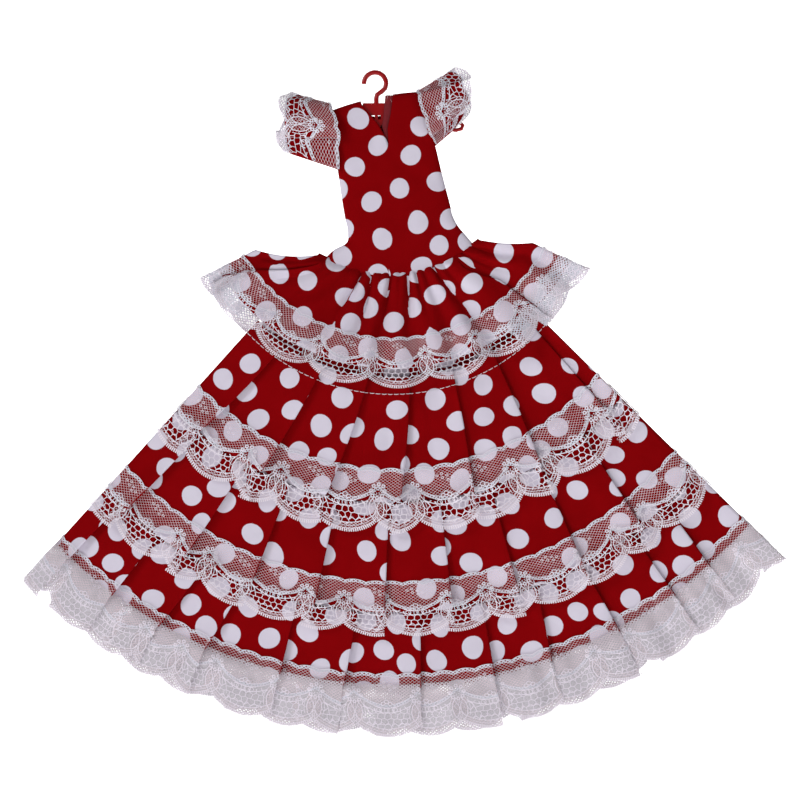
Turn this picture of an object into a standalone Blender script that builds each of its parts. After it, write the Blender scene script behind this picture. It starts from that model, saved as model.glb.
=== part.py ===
# A doll's flamenco dress hanging on a small plastic hanger, seen from the front along +Y.
# Sizes are in millimetres and degrees, and turn to metres where a mesh is made.
# The origin is the inside of the hook's crown, where the hanger is held up.
#
# The skirt is a flat tube cut as a fan: a smooth yoke and three knife pleated tiers.
# Its points are given by an angle and a radius about the fan's apex, and a depth along Y.
# Yoke, peplum and bodice have a back that mirrors the front; the back of the tiers is the
# front turned round the fan's middle line, so that the pleats run on round the skirt.

import math

import bmesh
import bpy
import numpy as np
from mathutils import Vector

MM = 0.001

CLOTH = 1.0          # thickness of every cloth and lace wall
GAP = 0.3            # clearance between pieces
LAYER = CLOTH + GAP  # depth that one cloth layer takes
SEAM = 0.15          # half the clearance between front and back at a side seam

# The fan of the skirt
APEX_X = 9.3
APEX_Z = -54.0
LEFT = -42.0
RIGHT = 45.3
MIDDLE = (LEFT + RIGHT) / 2
HALF = (RIGHT - LEFT) / 2

# Depths of the skirt's walls from the garment's middle plane
YOKE_DEPTH = 3.2
FRONT_DEPTH = 7.45   # the folded edges of the pleats
TUCK = 3.4           # how far each pleat runs back under its fold
NOSE = 0.65          # roundness of a folded edge
FLARE = 0.4          # how far a lace edge stands off the pleats below it
RIPPLE = 1.4         # depth of the waves along a lace edge
LACE_STEP = (0.5, 2.0)  # where the lace leaves a folded edge, and where it meets the next panel
LACE_MARGIN = 2.6    # no scallop step comes nearer than this to a folded edge
LACE_SIDE = (0.1, 0.2)  # how far a band passes the tier's side fold, and how far it turns in there

# The tiers: radii at the middle and at the sides of the fan, top and bottom edge, and the
# straight steps that draw one pleat
TIERS = {
    "tier_upper": {"top": (112.0, 109.0), "bottom": (180.0, 175.0), "steps": 4,
                   "folds_top": (-32.0, -19.5, -6.5, 5.0, 17.0, 29.3, 42.4),
                   "folds_bottom": (-36.6, -23.6, -11.6, 1.4, 14.4, 27.0, 42.0)},
    "tier_middle": {"top": (180.3, 175.3), "bottom": (240.0, 233.0), "steps": 3,
                    "folds_top": (-36.3, -26.6, -18.2, -9.6, -0.6, 8.3, 17.4, 26.6, 35.8),
                    "folds_bottom": (-38.2, -28.3, -18.9, -10.2, -1.0, 7.9, 16.8, 26.0, 35.2)},
    "tier_lower": {"top": (240.3, 233.3), "bottom": (281.2, 274.1), "steps": 2,
                   "folds_top": (-39.4, -32.8, -25.4, -19.8, -12.5, -4.5, 3.6, 11.8, 19.2, 25.9, 33.6,
                                 39.4),
                   "folds_bottom": (-39.9, -33.5, -27.2, -21.4, -12.6, -5.4, 3.2, 11.5, 18.1, 26.4, 33.8,
                                    38.9)},
}

SKIRT_HALVES = (("front", "front"), ("back", "turned"))

# The lace sewn over each tier's lower edge: radii at the middle and at the sides
LACE_BANDS = {
    "lace_upper": {"tier": "tier_upper", "top": (161.3, 156.4), "held": (176.0, 171.0),
                   "notch": (189.7, 185.0)},
    "lace_middle": {"tier": "tier_middle", "top": (222.9, 215.3), "held": (236.0, 229.0),
                    "notch": (246.5, 240.0)},
    "lace_hem": {"tier": "tier_lower", "top": (273.0, 267.0), "held": (279.5, 272.5),
                 "notch": (300.5, 293.5)},
}
SCALLOP = 7.4        # depth of one scallop below its notches
REPEAT = 35.0        # length of one lace repeat
SCALLOP_STEPS = 4    # straight lengths that draw one scallop

# The peplum: a gathered ruffle over the yoke, with the same lace on its lower edge
SEAM_RADII = (54.0, 60.5)
SEAM_SIDES = (-40.4, 50.7)
YOKE_RINGS = (SEAM_RADII, (88.0, 90.0), (123.0, 120.5))
PEPLUM_HEM = (107.0, 108.5)
PEPLUM_LACE_TOP = (90.0, 92.0)
PEPLUM_NOTCH = (112.0, 114.0)
PEPLUM_SCALLOP = 6.0
PEPLUM_LACE_LIFT = 1.5
PEPLUM_RINGS = ((68.0, 72.0), (82.0, 84.0), (94.0, 96.0))
PEPLUM_LACE_MIDDLE = (102.0, 103.5)
PEPLUM_REACH = 82.0  # the radius where the peplum has its full spread
PEPLUM_HEM_DEPTH = 9.0
PEPLUM_WAVE = (0.7, 3.2)
PEPLUM_LOBES = 6     # lace scallops across one half
# Its side folds and the crests of its gathers, as angles at the seam and at the lower edge
GATHERS = {"seam": (-42.0, -37.0, -29.0, -20.5, -12.0, -4.5, 3.5, 12.0, 22.0, 33.0, 42.0, 52.4),
           "hem": (-60.4, -54.0, -41.0, -29.0, -18.0, -7.5, 3.0, 14.0, 25.0, 38.0, 54.5, 63.2)}
GATHER_STEPS = 4

# The bodice: rows above the dropped waist up to the shoulders
BODICE_ROWS = (
    {"left": (-22.9, -96.5), "right": (50.1, -88.8), "sag": 8.7, "depth": 3.4, "open": 0.0},
    {"left": (-15.8, -92.7), "right": (45.8, -83.9), "sag": 5.5, "depth": 3.6, "open": 0.0},
    {"left": (-14.7, -86.7), "right": (42.5, -77.9), "sag": 2.7, "depth": 3.7, "open": 0.0},
    {"left": (-16.4, -77.9), "right": (40.9, -71.4), "sag": 1.0, "depth": 3.7, "open": 0.0},
    {"left": (-19.6, -57.2), "right": (36.2, -53.4), "sag": 0.0, "depth": 3.6, "open": 0.0},
    {"left": (-21.0, -45.0), "right": (33.0, -40.0), "sag": 0.0, "depth": 3.5, "open": 0.0},
    {"left": (-20.6, -39.0), "right": (31.4, -34.0), "sag": 0.0, "depth": 3.4, "open": 1.0},
    {"left": (-20.2, -30.0), "right": (28.3, -26.0), "sag": -0.5, "depth": 3.3, "open": 1.0},
    {"left": (-22.6, -22.4), "right": (23.6, -13.2), "sag": -1.4, "depth": 3.0, "open": 1.0},
    {"left": (-23.4, -19.6), "right": (22.6, -9.6), "sag": -1.8, "depth": 1.9, "open": 1.0},
    {"left": (-23.4, -19.6), "right": (22.6, -9.6), "sag": -1.8, "depth": SEAM, "open": 1.0},
)
# Stations across a ring of bodice or yoke: the share of its width and of its full depth
STATIONS = ((0.0, 0.0), (0.0, 0.42), (0.035, 0.76), (0.12, 0.93), (0.3, 1.0), (0.5, 1.0),
            (0.7, 1.0), (0.88, 0.93), (0.965, 0.76), (1.0, 0.42), (1.0, 0.0))
ARMHOLE_FLATNESS = 0.8

# The neck: a slit down the front and a scoop in the back, as outlines in X and Z
NECK_SLIT = ((-9.4, -10.0), (-7.2, -16.9), (1.5, -27.1), (4.9, -33.0), (7.4, -38.8),
             (8.0, -31.0), (9.2, -22.0), (9.8, -12.0), (10.2, -6.0))
SCOOP_CENTRE = (0.4, -12.0)
SCOOP_SIZE = (10.0, 13.0)
SCOOP_STEPS = 24
# The turned in edge that shows inside the slit: its left and right edge at each height
FACING_ROWS = ((-13.4, 5.7, 9.3), (-20.0, 5.3, 8.7), (-29.0, 5.2, 7.9), (-36.5, 6.5, 7.3))
FACING_DEPTH = 1.9

# The sleeve ruffles: each row runs from the armhole to the outer edge, front to back
SLEEVE_LEFT = (
    {"inner": (-21.9, -51.5), "outer": (-49.6, -42.2), "depth": -4.2},
    {"inner": (-21.8, -45.0), "outer": (-50.8, -39.8), "depth": -4.6},
    {"inner": (-21.6, -38.6), "outer": (-51.5, -37.4), "depth": -4.5},
    {"inner": (-21.6, -32.0), "outer": (-51.5, -31.6), "depth": -4.5, "hidden": True},
    {"inner": (-21.6, -31.2), "outer": (-51.6, -30.8), "depth": -5.15, "hidden": True},
    {"inner": (-21.6, -32.0), "outer": (-51.5, -31.6), "depth": -5.8, "hidden": True},
    {"inner": (-21.4, -34.2), "outer": (-51.7, -33.6), "depth": -5.9, "hidden": True},
    {"inner": (-21.4, -35.0), "outer": (-51.8, -34.4), "depth": -6.55, "hidden": True},
    {"inner": (-21.4, -34.2), "outer": (-51.7, -33.6), "depth": -7.2},
    {"inner": (-22.6, -27.0), "outer": (-51.8, -24.0), "depth": -7.6},
    {"inner": (-25.2, -18.6), "outer": (-50.5, -14.0), "depth": -5.6},
    {"inner": (-25.8, -16.2), "outer": (-46.0, -11.2), "depth": -2.6},
    {"inner": (-25.8, -16.2), "outer": (-45.0, -11.0), "depth": 1.0},
    {"inner": (-24.0, -24.0), "outer": (-49.5, -17.0), "depth": 4.2},
    {"inner": (-22.4, -38.0), "outer": (-51.0, -33.0), "depth": 5.0},
    {"inner": (-21.9, -51.0), "outer": (-49.0, -42.0), "depth": 4.4},
)
SLEEVE_RIGHT = (
    {"inner": (34.2, -38.2), "outer": (42.0, -31.2), "depth": -4.2},
    {"inner": (32.8, -36.2), "outer": (44.2, -26.6), "depth": -4.4},
    {"inner": (29.6, -30.2), "outer": (44.6, -19.6), "depth": -4.4, "hidden": True},
    {"inner": (29.4, -29.4), "outer": (44.6, -18.8), "depth": -5.05, "hidden": True},
    {"inner": (29.6, -30.2), "outer": (44.8, -19.6), "depth": -5.7, "hidden": True},
    {"inner": (31.0, -32.6), "outer": (45.6, -21.8), "depth": -5.8, "hidden": True},
    {"inner": (31.2, -33.4), "outer": (45.9, -22.5), "depth": -6.45, "hidden": True},
    {"inner": (31.0, -32.6), "outer": (45.6, -21.8), "depth": -7.1},
    {"inner": (28.4, -23.0), "outer": (54.0, -15.2), "depth": -7.8},
    {"inner": (25.2, -12.6), "outer": (50.6, -6.6), "depth": -7.0},
    {"inner": (24.8, -10.9), "outer": (49.8, -4.8), "depth": -6.2},
    {"inner": (24.8, -10.3), "outer": (50.6, -3.0), "depth": -4.6},
    {"inner": (24.6, -9.0), "outer": (47.8, 1.0), "depth": -2.4},
    {"inner": (24.6, -8.2), "outer": (43.6, 2.6), "depth": 0.2},
    {"inner": (25.0, -9.6), "outer": (45.4, 0.4), "depth": 2.8},
    {"inner": (26.2, -14.0), "outer": (49.0, -5.6), "depth": 4.4},
    {"inner": (29.4, -26.0), "outer": (51.0, -19.0), "depth": 5.0},
    {"inner": (33.6, -38.0), "outer": (43.0, -30.0), "depth": 4.4},
)
SLEEVE_SECTIONS = (0.0, 0.35, 0.7, 1.0)
SLEEVE_LACE_LIFT = 1.6
SLEEVE_LACE_REACH = 1.07   # the lace runs on past the frill's outer edge by this share
SLEEVE_LACE_WAVE = 0.035

# The hanger: a round hook and stem, a flat web below it and two round arms
HOOK_RADIUS = 1.35
HOOK_CENTRE = (-0.05, -4.75)
HOOK_RING = 6.1
HOOK_TIP_TURN = 183.0
HOOK_STEPS = 15
HOOK_TAIL = ((5.5, -7.3), (3.5, -9.2), (1.1, -10.9), (0.65, -12.9), (0.65, -16.6))
WEB = ((-6.6, -15.6), (7.9, -15.6), (8.3, -17.6), (3.4, -28.2), (1.6, -28.8), (-0.4, -26.4),
       (-7.0, -17.4))
WEB_THICKNESS = 2.0
WEB_HOLES = ((-1.0, -23.4), (2.3, -23.4))
WEB_HOLE_SIZE = (1.6, 2.4)
ARM_RADIUS = 1.1
ARM_MIDDLE = 0.65
ARM_ROUTE = ((4.0, -17.6), (11.4, -17.8), (24.4, -22.5), (34.0, -27.0), (40.0, -29.6),
             (43.6, -30.4), (46.6, -29.6), (47.4, -27.8), (46.4, -26.7))

PALETTE = {
    "dotted cotton": ((0.235, 0.002, 0.004), 0.85),
    "white lace": ((0.72, 0.74, 0.82), 0.9),
    "moulded plastic": ((0.14, 0.004, 0.006), 0.35),
}


def clear_scene():
    for item in list(bpy.data.objects):
        bpy.data.objects.remove(item, do_unlink=True)


def new_collection(name):
    collection = bpy.data.collections.new(name)
    bpy.context.scene.collection.children.link(collection)
    return collection


def finish_of(name):
    """One Principled material of the palette, made the first time it is asked for."""
    found = bpy.data.materials.get(name)
    if found:
        return found
    colour, roughness = PALETTE[name]
    found = bpy.data.materials.new(name)
    found.use_nodes = True
    shader = found.node_tree.nodes["Principled BSDF"]
    shader.inputs["Base Color"].default_value = (*colour, 1.0)
    shader.inputs["Roughness"].default_value = roughness
    shader.inputs["Metallic"].default_value = 0.0
    return found


def cloth_wall(name, rows, finish, collection, thickness=CLOTH):
    """An open surface lofted through rows of points, made a wall with Solidify."""
    bm = bmesh.new()
    grid = [[bm.verts.new(Vector(point) * MM) for point in row] for row in rows]
    for lower, upper in zip(grid, grid[1:]):
        for a, b, c, d in zip(lower, lower[1:], upper[1:], upper):
            bm.faces.new((a, b, c, d))
    mesh = bpy.data.meshes.new(name)
    bm.to_mesh(mesh)
    bm.free()
    wall = bpy.data.objects.new(name, mesh)
    collection.objects.link(wall)
    mesh.materials.append(finish_of(finish))
    solid = wall.modifiers.new("Wall", "SOLIDIFY")
    solid.thickness = thickness * MM
    solid.offset = 0.0
    solid.use_even_offset = True
    return wall


def flat_outline(name, points, thickness, middle, collection):
    """A closed outline in X and Z, as a plate round the depth called middle."""
    curve = bpy.data.curves.new(name, "CURVE")
    curve.dimensions = "2D"
    curve.fill_mode = "BOTH"
    curve.extrude = thickness / 2 * MM
    spline = curve.splines.new("POLY")
    spline.points.add(len(points) - 1)
    for point, (x, z) in zip(spline.points, points):
        point.co = (x * MM, z * MM, 0.0, 1.0)
    spline.use_cyclic_u = True
    plate = bpy.data.objects.new(name, curve)
    plate.rotation_euler = (math.radians(90), 0.0, 0.0)
    plate.location = (0.0, middle * MM, 0.0)
    collection.objects.link(plate)
    return plate


def round_rod(name, points, radius, collection):
    """A round rod along points in X and Z, in the garment's middle plane."""
    curve = bpy.data.curves.new(name, "CURVE")
    curve.dimensions = "3D"
    curve.bevel_depth = radius * MM
    curve.bevel_resolution = 2
    curve.use_fill_caps = True
    spline = curve.splines.new("POLY")
    spline.points.add(len(points) - 1)
    for point, (x, z) in zip(spline.points, points):
        point.co = (x * MM, 0.0, z * MM, 1.0)
    rod = bpy.data.objects.new(name, curve)
    collection.objects.link(rod)
    return rod


def as_mesh(item, collection):
    """The evaluated object as a plain closed mesh with its caps welded on."""
    graph = bpy.context.evaluated_depsgraph_get()
    mesh = bpy.data.meshes.new_from_object(item.evaluated_get(graph))
    mesh.transform(item.matrix_world)
    bm = bmesh.new()
    bm.from_mesh(mesh)
    bmesh.ops.remove_doubles(bm, verts=bm.verts, dist=0.00001)
    bmesh.ops.recalc_face_normals(bm, faces=bm.faces)
    bm.to_mesh(mesh)
    bm.free()
    name = item.name
    bpy.data.objects.remove(item, do_unlink=True)
    solid = bpy.data.objects.new(name, mesh)
    collection.objects.link(solid)
    return solid


def combine(target, tool, operation):
    """A Boolean on target; a tool that cuts or is joined stays as a hidden helper."""
    modifier = target.modifiers.new(operation.title(), "BOOLEAN")
    modifier.operation = operation
    modifier.object = tool
    modifier.solver = "EXACT"
    tool.hide_render = True
    tool.display_type = "WIRE"


def across(angle):
    """Where an angle lies across the fan: -1 at its left side, 1 at its right."""
    return (angle - MIDDLE) / HALF


def bowed(radii, angle):
    """A radius that is longest at the fan's middle: radii are the middle's and the sides'."""
    middle, side = radii
    return side + (middle - side) * (1 - min(1.0, abs(across(angle))) ** 2)


def arc(length, radius):
    """The angle that a length in millimetres covers at a radius."""
    return math.degrees(length / radius)


def fan_point(angle, radius, depth, half):
    """A point of the fan: half is front, back for its mirror image, or turned."""
    swung = math.radians(2 * MIDDLE - angle if half == "turned" else angle)
    side = -1 if half == "front" else 1
    return (APEX_X + radius * math.sin(swung), side * depth, APEX_Z - radius * math.cos(swung))


def fold_angles(tier, share):
    """The angles of a tier's folds at a share of its height, top 0 and bottom 1."""
    ends = zip(tier["folds_top"], tier["folds_bottom"])
    return [top + (bottom - top) * share for top, bottom in ends]


def pleat_panels(folds, radius):
    """For each panel of a ring of pleats, left to right: its start, its top edge and its slope."""
    panels = []
    start, depth = LEFT, FRONT_DEPTH - 2 * LAYER
    for fold in (*folds, RIGHT):
        crest = fold - arc(NOSE, radius) if fold != RIGHT else RIGHT
        slope = (FRONT_DEPTH - depth) / (math.radians(crest - start) * radius)
        panels.append({"start": start, "depth": depth, "crest": crest, "slope": slope})
        start, depth = fold - arc(TUCK, radius), FRONT_DEPTH - slope * TUCK - 2 * LAYER
    return panels


def panel_depth(panel, angle, radius):
    """How far a panel of a pleat stands out at an angle."""
    return FRONT_DEPTH - panel["slope"] * max(0.0, math.radians(panel["crest"] - angle) * radius)


def pleat_profile(folds, radius, steps):
    """Angle and depth along a ring of knife pleats, left over right, from side seam to side seam."""
    panels = pleat_panels(folds, radius)
    points = [(LEFT, SEAM), (LEFT, panels[0]["depth"])]
    for fold, panel in zip((*folds, RIGHT), panels):
        for step in range(1, steps):
            angle = panel["start"] + (panel["crest"] - panel["start"]) * step / steps
            points.append((angle, panel_depth(panel, angle, radius)))
        if fold == RIGHT:
            break
        under = FRONT_DEPTH - panel["slope"] * TUCK
        points += [
            (panel["crest"], FRONT_DEPTH),
            (fold, FRONT_DEPTH - LAYER / 2),
            (panel["crest"], FRONT_DEPTH - LAYER),
            (fold - arc(TUCK, radius), under - LAYER),
            (fold - arc(TUCK + NOSE, radius), under - 1.5 * LAYER),
            (fold - arc(TUCK, radius), under - 2 * LAYER),
        ]
    return points + [(RIGHT, FRONT_DEPTH), (RIGHT, SEAM)]


def build_tiers(collection):
    shares = (0.0, 0.5, 1.0)
    for name, tier in TIERS.items():
        for side, half in SKIRT_HALVES:
            rows = []
            for share in shares:
                radii = [top + (bottom - top) * share for top, bottom in zip(tier["top"], tier["bottom"])]
                profile = pleat_profile(fold_angles(tier, share), radii[0], tier["steps"])
                rows.append([fan_point(a, bowed(radii, a), d, half) for a, d in profile])
            cloth_wall(f"{name}_{side}", rows, "dotted cotton", collection)


def waist_row(radii, ends, half):
    """A ring of the smooth tube of yoke and bodice, between the angles of its side seams."""
    row = []
    for share, fullness in STATIONS:
        angle = ends[0] + (ends[1] - ends[0]) * share
        depth = SEAM + (YOKE_DEPTH - SEAM) * fullness
        row.append(fan_point(angle, bowed(radii, angle), depth, half))
    return row


def build_yoke(collection):
    """The smooth top of the skirt, from the dropped waist down under the upper tier."""
    inset = arc(LAYER, YOKE_RINGS[-1][0])
    sides = (SEAM_SIDES, (LEFT + inset, RIGHT - inset), (LEFT + inset, RIGHT - inset))
    for half in ("front", "back"):
        rows = [waist_row(radii, ends, half) for radii, ends in zip(YOKE_RINGS, sides)]
        cloth_wall(f"yoke_{half}", rows, "dotted cotton", collection)


def scallop_at(length, repeat=REPEAT):
    """How far an edge hangs below its notches, 0 to 1, at a length along it."""
    return abs(math.sin(math.pi * length / repeat)) ** 0.7


def band_columns(edges_low, radius):
    """Columns of a lace band: a panel's number and the share across it, from left to right."""
    columns = []
    for panel in range(len(edges_low) - 1):
        columns += [(panel, 0.0), (panel, 1.0)]
    first, last = edges_low[0], edges_low[-1]
    total = math.radians(last - first) * radius
    repeats = round(total / REPEAT)
    for step in range(1, repeats * SCALLOP_STEPS):
        angle = first + (last - first) * step / (repeats * SCALLOP_STEPS)
        panel = int(np.searchsorted(edges_low, angle)) - 1
        share = (angle - edges_low[panel]) / (edges_low[panel + 1] - edges_low[panel])
        margin = LACE_MARGIN / (math.radians(edges_low[panel + 1] - edges_low[panel]) * radius)
        if margin < share < 1 - margin:
            columns.append((panel, share))
    return sorted(columns), total / repeats


def build_lace_bands(collection):
    """Lace laid over the folds of its tier, which opens to a waved, scalloped edge below."""
    lift = LAYER
    for name, band in LACE_BANDS.items():
        tier = TIERS[band["tier"]]
        height = tier["bottom"][0] - tier["top"][0]
        low_edges = [LEFT, *fold_angles(tier, 1.0), RIGHT]
        columns, repeat = band_columns(low_edges, band["notch"][0])
        for side, half in SKIRT_HALVES:
            rows = []
            for edge in ("top", "held", "notch"):
                share = min(1.0, (band[edge][0] - tier["top"][0]) / height)
                edges = [LEFT, *fold_angles(tier, share), RIGHT]
                radius = band[edge][0]
                panels = pleat_panels(edges[1:-1], radius)
                row = []
                for panel, part in columns:
                    leave = arc(LACE_STEP[0], radius) if panel < len(edges) - 2 else 0.0
                    left = edges[panel] + (arc(LACE_STEP[1], radius) if panel else 0.0)
                    angle = left + (edges[panel + 1] + leave - left) * part
                    length = math.radians(angle - LEFT) * band["notch"][0]
                    if edge == "top":
                        depth = panel_depth(panels[panel], angle, radius) + lift
                        reach = 0.0
                    else:
                        depth = FRONT_DEPTH + lift + FLARE + (RIPPLE * part if edge == "notch" else 0.0)
                        reach = SCALLOP * scallop_at(length, repeat) if edge == "notch" else 0.0
                    row.append((angle, bowed(band[edge], angle) + reach, depth))
                out = arc(lift + LACE_SIDE[0], radius)
                (first, first_radius, first_depth), (last, last_radius, last_depth) = row[0], row[-1]
                row = [(first - out, first_radius, SEAM),
                       (first - out, first_radius, first_depth - LACE_SIDE[1]),
                       *row,
                       (last + out, last_radius, last_depth - LACE_SIDE[1]),
                       (last + out, last_radius, SEAM)]
                rows.append([fan_point(a, r, d, half) for a, r, d in row])
            cloth_wall(f"{name}_{side}", rows, "white lace", collection)


def gather_angles(radius):
    """The side folds and crests of the peplum's gathers at a radius."""
    spread = min(1.0, (radius - SEAM_RADII[0]) / (PEPLUM_REACH - SEAM_RADII[0]))
    return [seam + (hem - seam) * spread for seam, hem in zip(GATHERS["seam"], GATHERS["hem"])]


def peplum_row(radii, lift, half, scalloped=False):
    """One ring of the peplum or its lace, from side fold to side fold."""
    crests = gather_angles(radii[0])
    fall = (radii[0] - SEAM_RADII[0]) / (PEPLUM_HEM[0] - SEAM_RADII[0])
    base = YOKE_DEPTH + LAYER + (PEPLUM_HEM_DEPTH - YOKE_DEPTH - LAYER) * fall + lift
    wave = PEPLUM_WAVE[0] + (PEPLUM_WAVE[1] - PEPLUM_WAVE[0]) * fall
    row = []
    for crest, following in zip(crests, crests[1:]):
        for step in range(GATHER_STEPS):
            share = step / GATHER_STEPS
            swell = 0.5 + 0.5 * math.cos(2 * math.pi * share)
            row.append((crest + (following - crest) * share, base + wave * swell))
    edge = arc(lift, radii[0])
    left, right = crests[0] - edge, crests[-1] + edge
    row = [(left, SEAM), (left, base), *row[1:], (right, base), (right, SEAM)]
    points = []
    for angle, depth in row:
        share = (angle - left) / (right - left)
        bow = radii[1] + (radii[0] - radii[1]) * 4 * share * (1 - share)
        hang = PEPLUM_SCALLOP * scallop_at(share * PEPLUM_LOBES, 1.0) if scalloped else 0.0
        points.append(fan_point(angle, bow + hang, depth, half))
    return points


def build_peplum(collection):
    seam = [radius + GAP for radius in SEAM_RADII]
    for half in ("front", "back"):
        rows = [peplum_row(ring, 0.0, half) for ring in (seam, *PEPLUM_RINGS, PEPLUM_HEM)]
        cloth_wall(f"peplum_{half}", rows, "dotted cotton", collection)
        rows = [peplum_row(PEPLUM_LACE_TOP, PEPLUM_LACE_LIFT, half),
                peplum_row(PEPLUM_LACE_MIDDLE, PEPLUM_LACE_LIFT, half),
                peplum_row(PEPLUM_NOTCH, PEPLUM_LACE_LIFT, half, scalloped=True)]
        cloth_wall(f"peplum_lace_{half}", rows, "white lace", collection)


def build_bodice(collection, helpers):
    waist = [radius - GAP for radius in SEAM_RADII]
    for half, turn in (("front", -1), ("back", 1)):
        rows = [waist_row(waist, SEAM_SIDES, half)]
        for table in BODICE_ROWS:
            left, right = Vector(table["left"]), Vector(table["right"])
            row = []
            for share, fullness in STATIONS:
                flat = left.lerp(right, share)
                full = fullness + (1 - fullness) * ARMHOLE_FLATNESS * table["open"]
                depth = SEAM + (table["depth"] - SEAM) * full
                row.append((flat.x, turn * depth, flat.y - table["sag"] * 4 * share * (1 - share)))
            rows.append(row)
        wall = cloth_wall(f"bodice_{half}", rows, "dotted cotton", collection)
        if half == "front":
            cutter = flat_outline("neck_slit_cutter", NECK_SLIT, 9.0, -4.5, helpers)
        else:
            (x, z), (wide, high) = SCOOP_CENTRE, SCOOP_SIZE
            oval = [(x + wide * math.cos(turn), z + high * math.sin(turn))
                    for turn in np.linspace(0.0, 2 * math.pi, SCOOP_STEPS + 1)[:-1]]
            cutter = flat_outline("neck_scoop_cutter", oval, 9.0, 4.5, helpers)
        combine(wall, as_mesh(cutter, helpers), "DIFFERENCE")
    rows = [[(left, -FACING_DEPTH, z), ((left + right) / 2, -FACING_DEPTH, z), (right, -FACING_DEPTH, z)]
            for z, left, right in FACING_ROWS]
    cloth_wall("neck_facing", rows, "dotted cotton", collection)


def sleeve_point(row, share):
    (x0, z0), (x1, z1) = row["inner"], row["outer"]
    return Vector((x0 + (x1 - x0) * share, row["depth"], z0 + (z1 - z0) * share))


def sleeve_lace_rows(table):
    """The frill's rows that show, each moved out square to its neighbours."""
    shown = [row for row in table if not row.get("hidden")]
    rows = []
    for number, row in enumerate(shown):
        before, after = shown[max(0, number - 1)], shown[min(len(shown) - 1, number + 1)]
        along = sleeve_point(row, 1.0) - sleeve_point(row, 0.0)
        lift = SLEEVE_LACE_LIFT * math.copysign(1.0, along.x)
        reach = SLEEVE_LACE_REACH + SLEEVE_LACE_WAVE * (-1) ** number
        points = []
        for share in SLEEVE_SECTIONS:
            run = sleeve_point(after, share * reach) - sleeve_point(before, share * reach)
            points.append(sleeve_point(row, share * reach) + along.cross(run).normalized() * lift)
        rows.append(points)
    return rows


def build_sleeves(collection):
    """A gathered frill in each armhole, folded on itself in front, with lace laid over it."""
    for name, table in (("left", SLEEVE_LEFT), ("right", SLEEVE_RIGHT)):
        rows = [[sleeve_point(row, share) for share in SLEEVE_SECTIONS] for row in table]
        cloth_wall(f"sleeve_{name}", rows, "dotted cotton", collection)
        cloth_wall(f"sleeve_{name}_lace", sleeve_lace_rows(table), "white lace", collection)


def build_hanger(collection, helpers):
    x, z = HOOK_CENTRE
    ring = [(x + HOOK_RING * math.cos(turn), z + HOOK_RING * math.sin(turn))
            for turn in np.radians(np.linspace(HOOK_TIP_TURN, 0.0, HOOK_STEPS))]
    hanger = as_mesh(round_rod("hanger", [*ring, *HOOK_TAIL], HOOK_RADIUS, collection), collection)
    web = as_mesh(flat_outline("hanger_web", WEB, WEB_THICKNESS, 0.0, helpers), helpers)
    combine(hanger, web, "UNION")
    for name, side in (("hanger_left_arm", -1), ("hanger_right_arm", 1)):
        route = [(ARM_MIDDLE + side * x, z) for x, z in ARM_ROUTE]
        arm = as_mesh(round_rod(name, route, ARM_RADIUS, helpers), helpers)
        combine(hanger, arm, "UNION")
    for number, (x, z) in enumerate(WEB_HOLES):
        bpy.ops.mesh.primitive_cube_add(size=1.0, location=(x * MM, 0.0, z * MM))
        hole = bpy.context.object
        hole.name = f"web_hole_{number}"
        hole.scale = (WEB_HOLE_SIZE[0] * MM, 4 * WEB_THICKNESS * MM, WEB_HOLE_SIZE[1] * MM)
        bpy.context.collection.objects.unlink(hole)
        helpers.objects.link(hole)
        combine(hanger, hole, "DIFFERENCE")
    hanger.data.materials.append(finish_of("moulded plastic"))


clear_scene()
dress = new_collection("flamenco dress")
helpers = new_collection("cutters")
build_hanger(dress, helpers)
build_bodice(dress, helpers)
build_sleeves(dress)
build_yoke(dress)
build_peplum(dress)
build_tiers(dress)
build_lace_bands(dress)
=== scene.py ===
import math

import bmesh
import bpy
import numpy as np
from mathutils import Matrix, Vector, noise


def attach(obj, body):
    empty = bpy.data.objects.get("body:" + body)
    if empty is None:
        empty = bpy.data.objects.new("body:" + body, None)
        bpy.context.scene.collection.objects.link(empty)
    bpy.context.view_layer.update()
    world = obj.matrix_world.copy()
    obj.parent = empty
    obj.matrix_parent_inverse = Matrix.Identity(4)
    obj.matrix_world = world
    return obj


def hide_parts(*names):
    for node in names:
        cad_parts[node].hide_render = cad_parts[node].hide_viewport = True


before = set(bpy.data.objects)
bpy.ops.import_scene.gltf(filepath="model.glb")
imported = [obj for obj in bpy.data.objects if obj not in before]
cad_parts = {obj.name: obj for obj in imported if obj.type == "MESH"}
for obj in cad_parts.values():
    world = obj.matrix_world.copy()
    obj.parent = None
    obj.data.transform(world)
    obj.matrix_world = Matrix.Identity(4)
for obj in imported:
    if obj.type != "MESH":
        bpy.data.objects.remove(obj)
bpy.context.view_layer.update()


# Hanger: a small hanger moulded in one piece from red polystyrene, with a round hook and
# arms and a flat web between them. It is glossy, with the soft edge of a worn mould.
MM = 0.001


def linear(code):
    """An sRGB hex colour as linear RGBA."""
    parts = [int(code[place:place + 2], 16) / 255 for place in (1, 3, 5)]
    return (*[p / 12.92 if p <= 0.04045 else ((p + 0.055) / 1.055) ** 2.4 for p in parts], 1.0)


def node(tree, kind, inputs=(), **settings):
    """A node with its settings and inputs; a socket is linked, and so is a node's first output."""
    made = tree.nodes.new(kind)
    for name, value in settings.items():
        setattr(made, name, value)
    for place, value in dict(inputs).items():
        if isinstance(value, bpy.types.Node):
            value = value.outputs[0]
        if isinstance(value, bpy.types.NodeSocket):
            tree.links.new(value, made.inputs[place])
        else:
            made.inputs[place].default_value = value
    return made


def new_material(name):
    """An empty material and its node tree."""
    material = bpy.data.materials.new(name)
    material.use_nodes = True
    material.node_tree.nodes.clear()
    return material, material.node_tree


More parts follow.
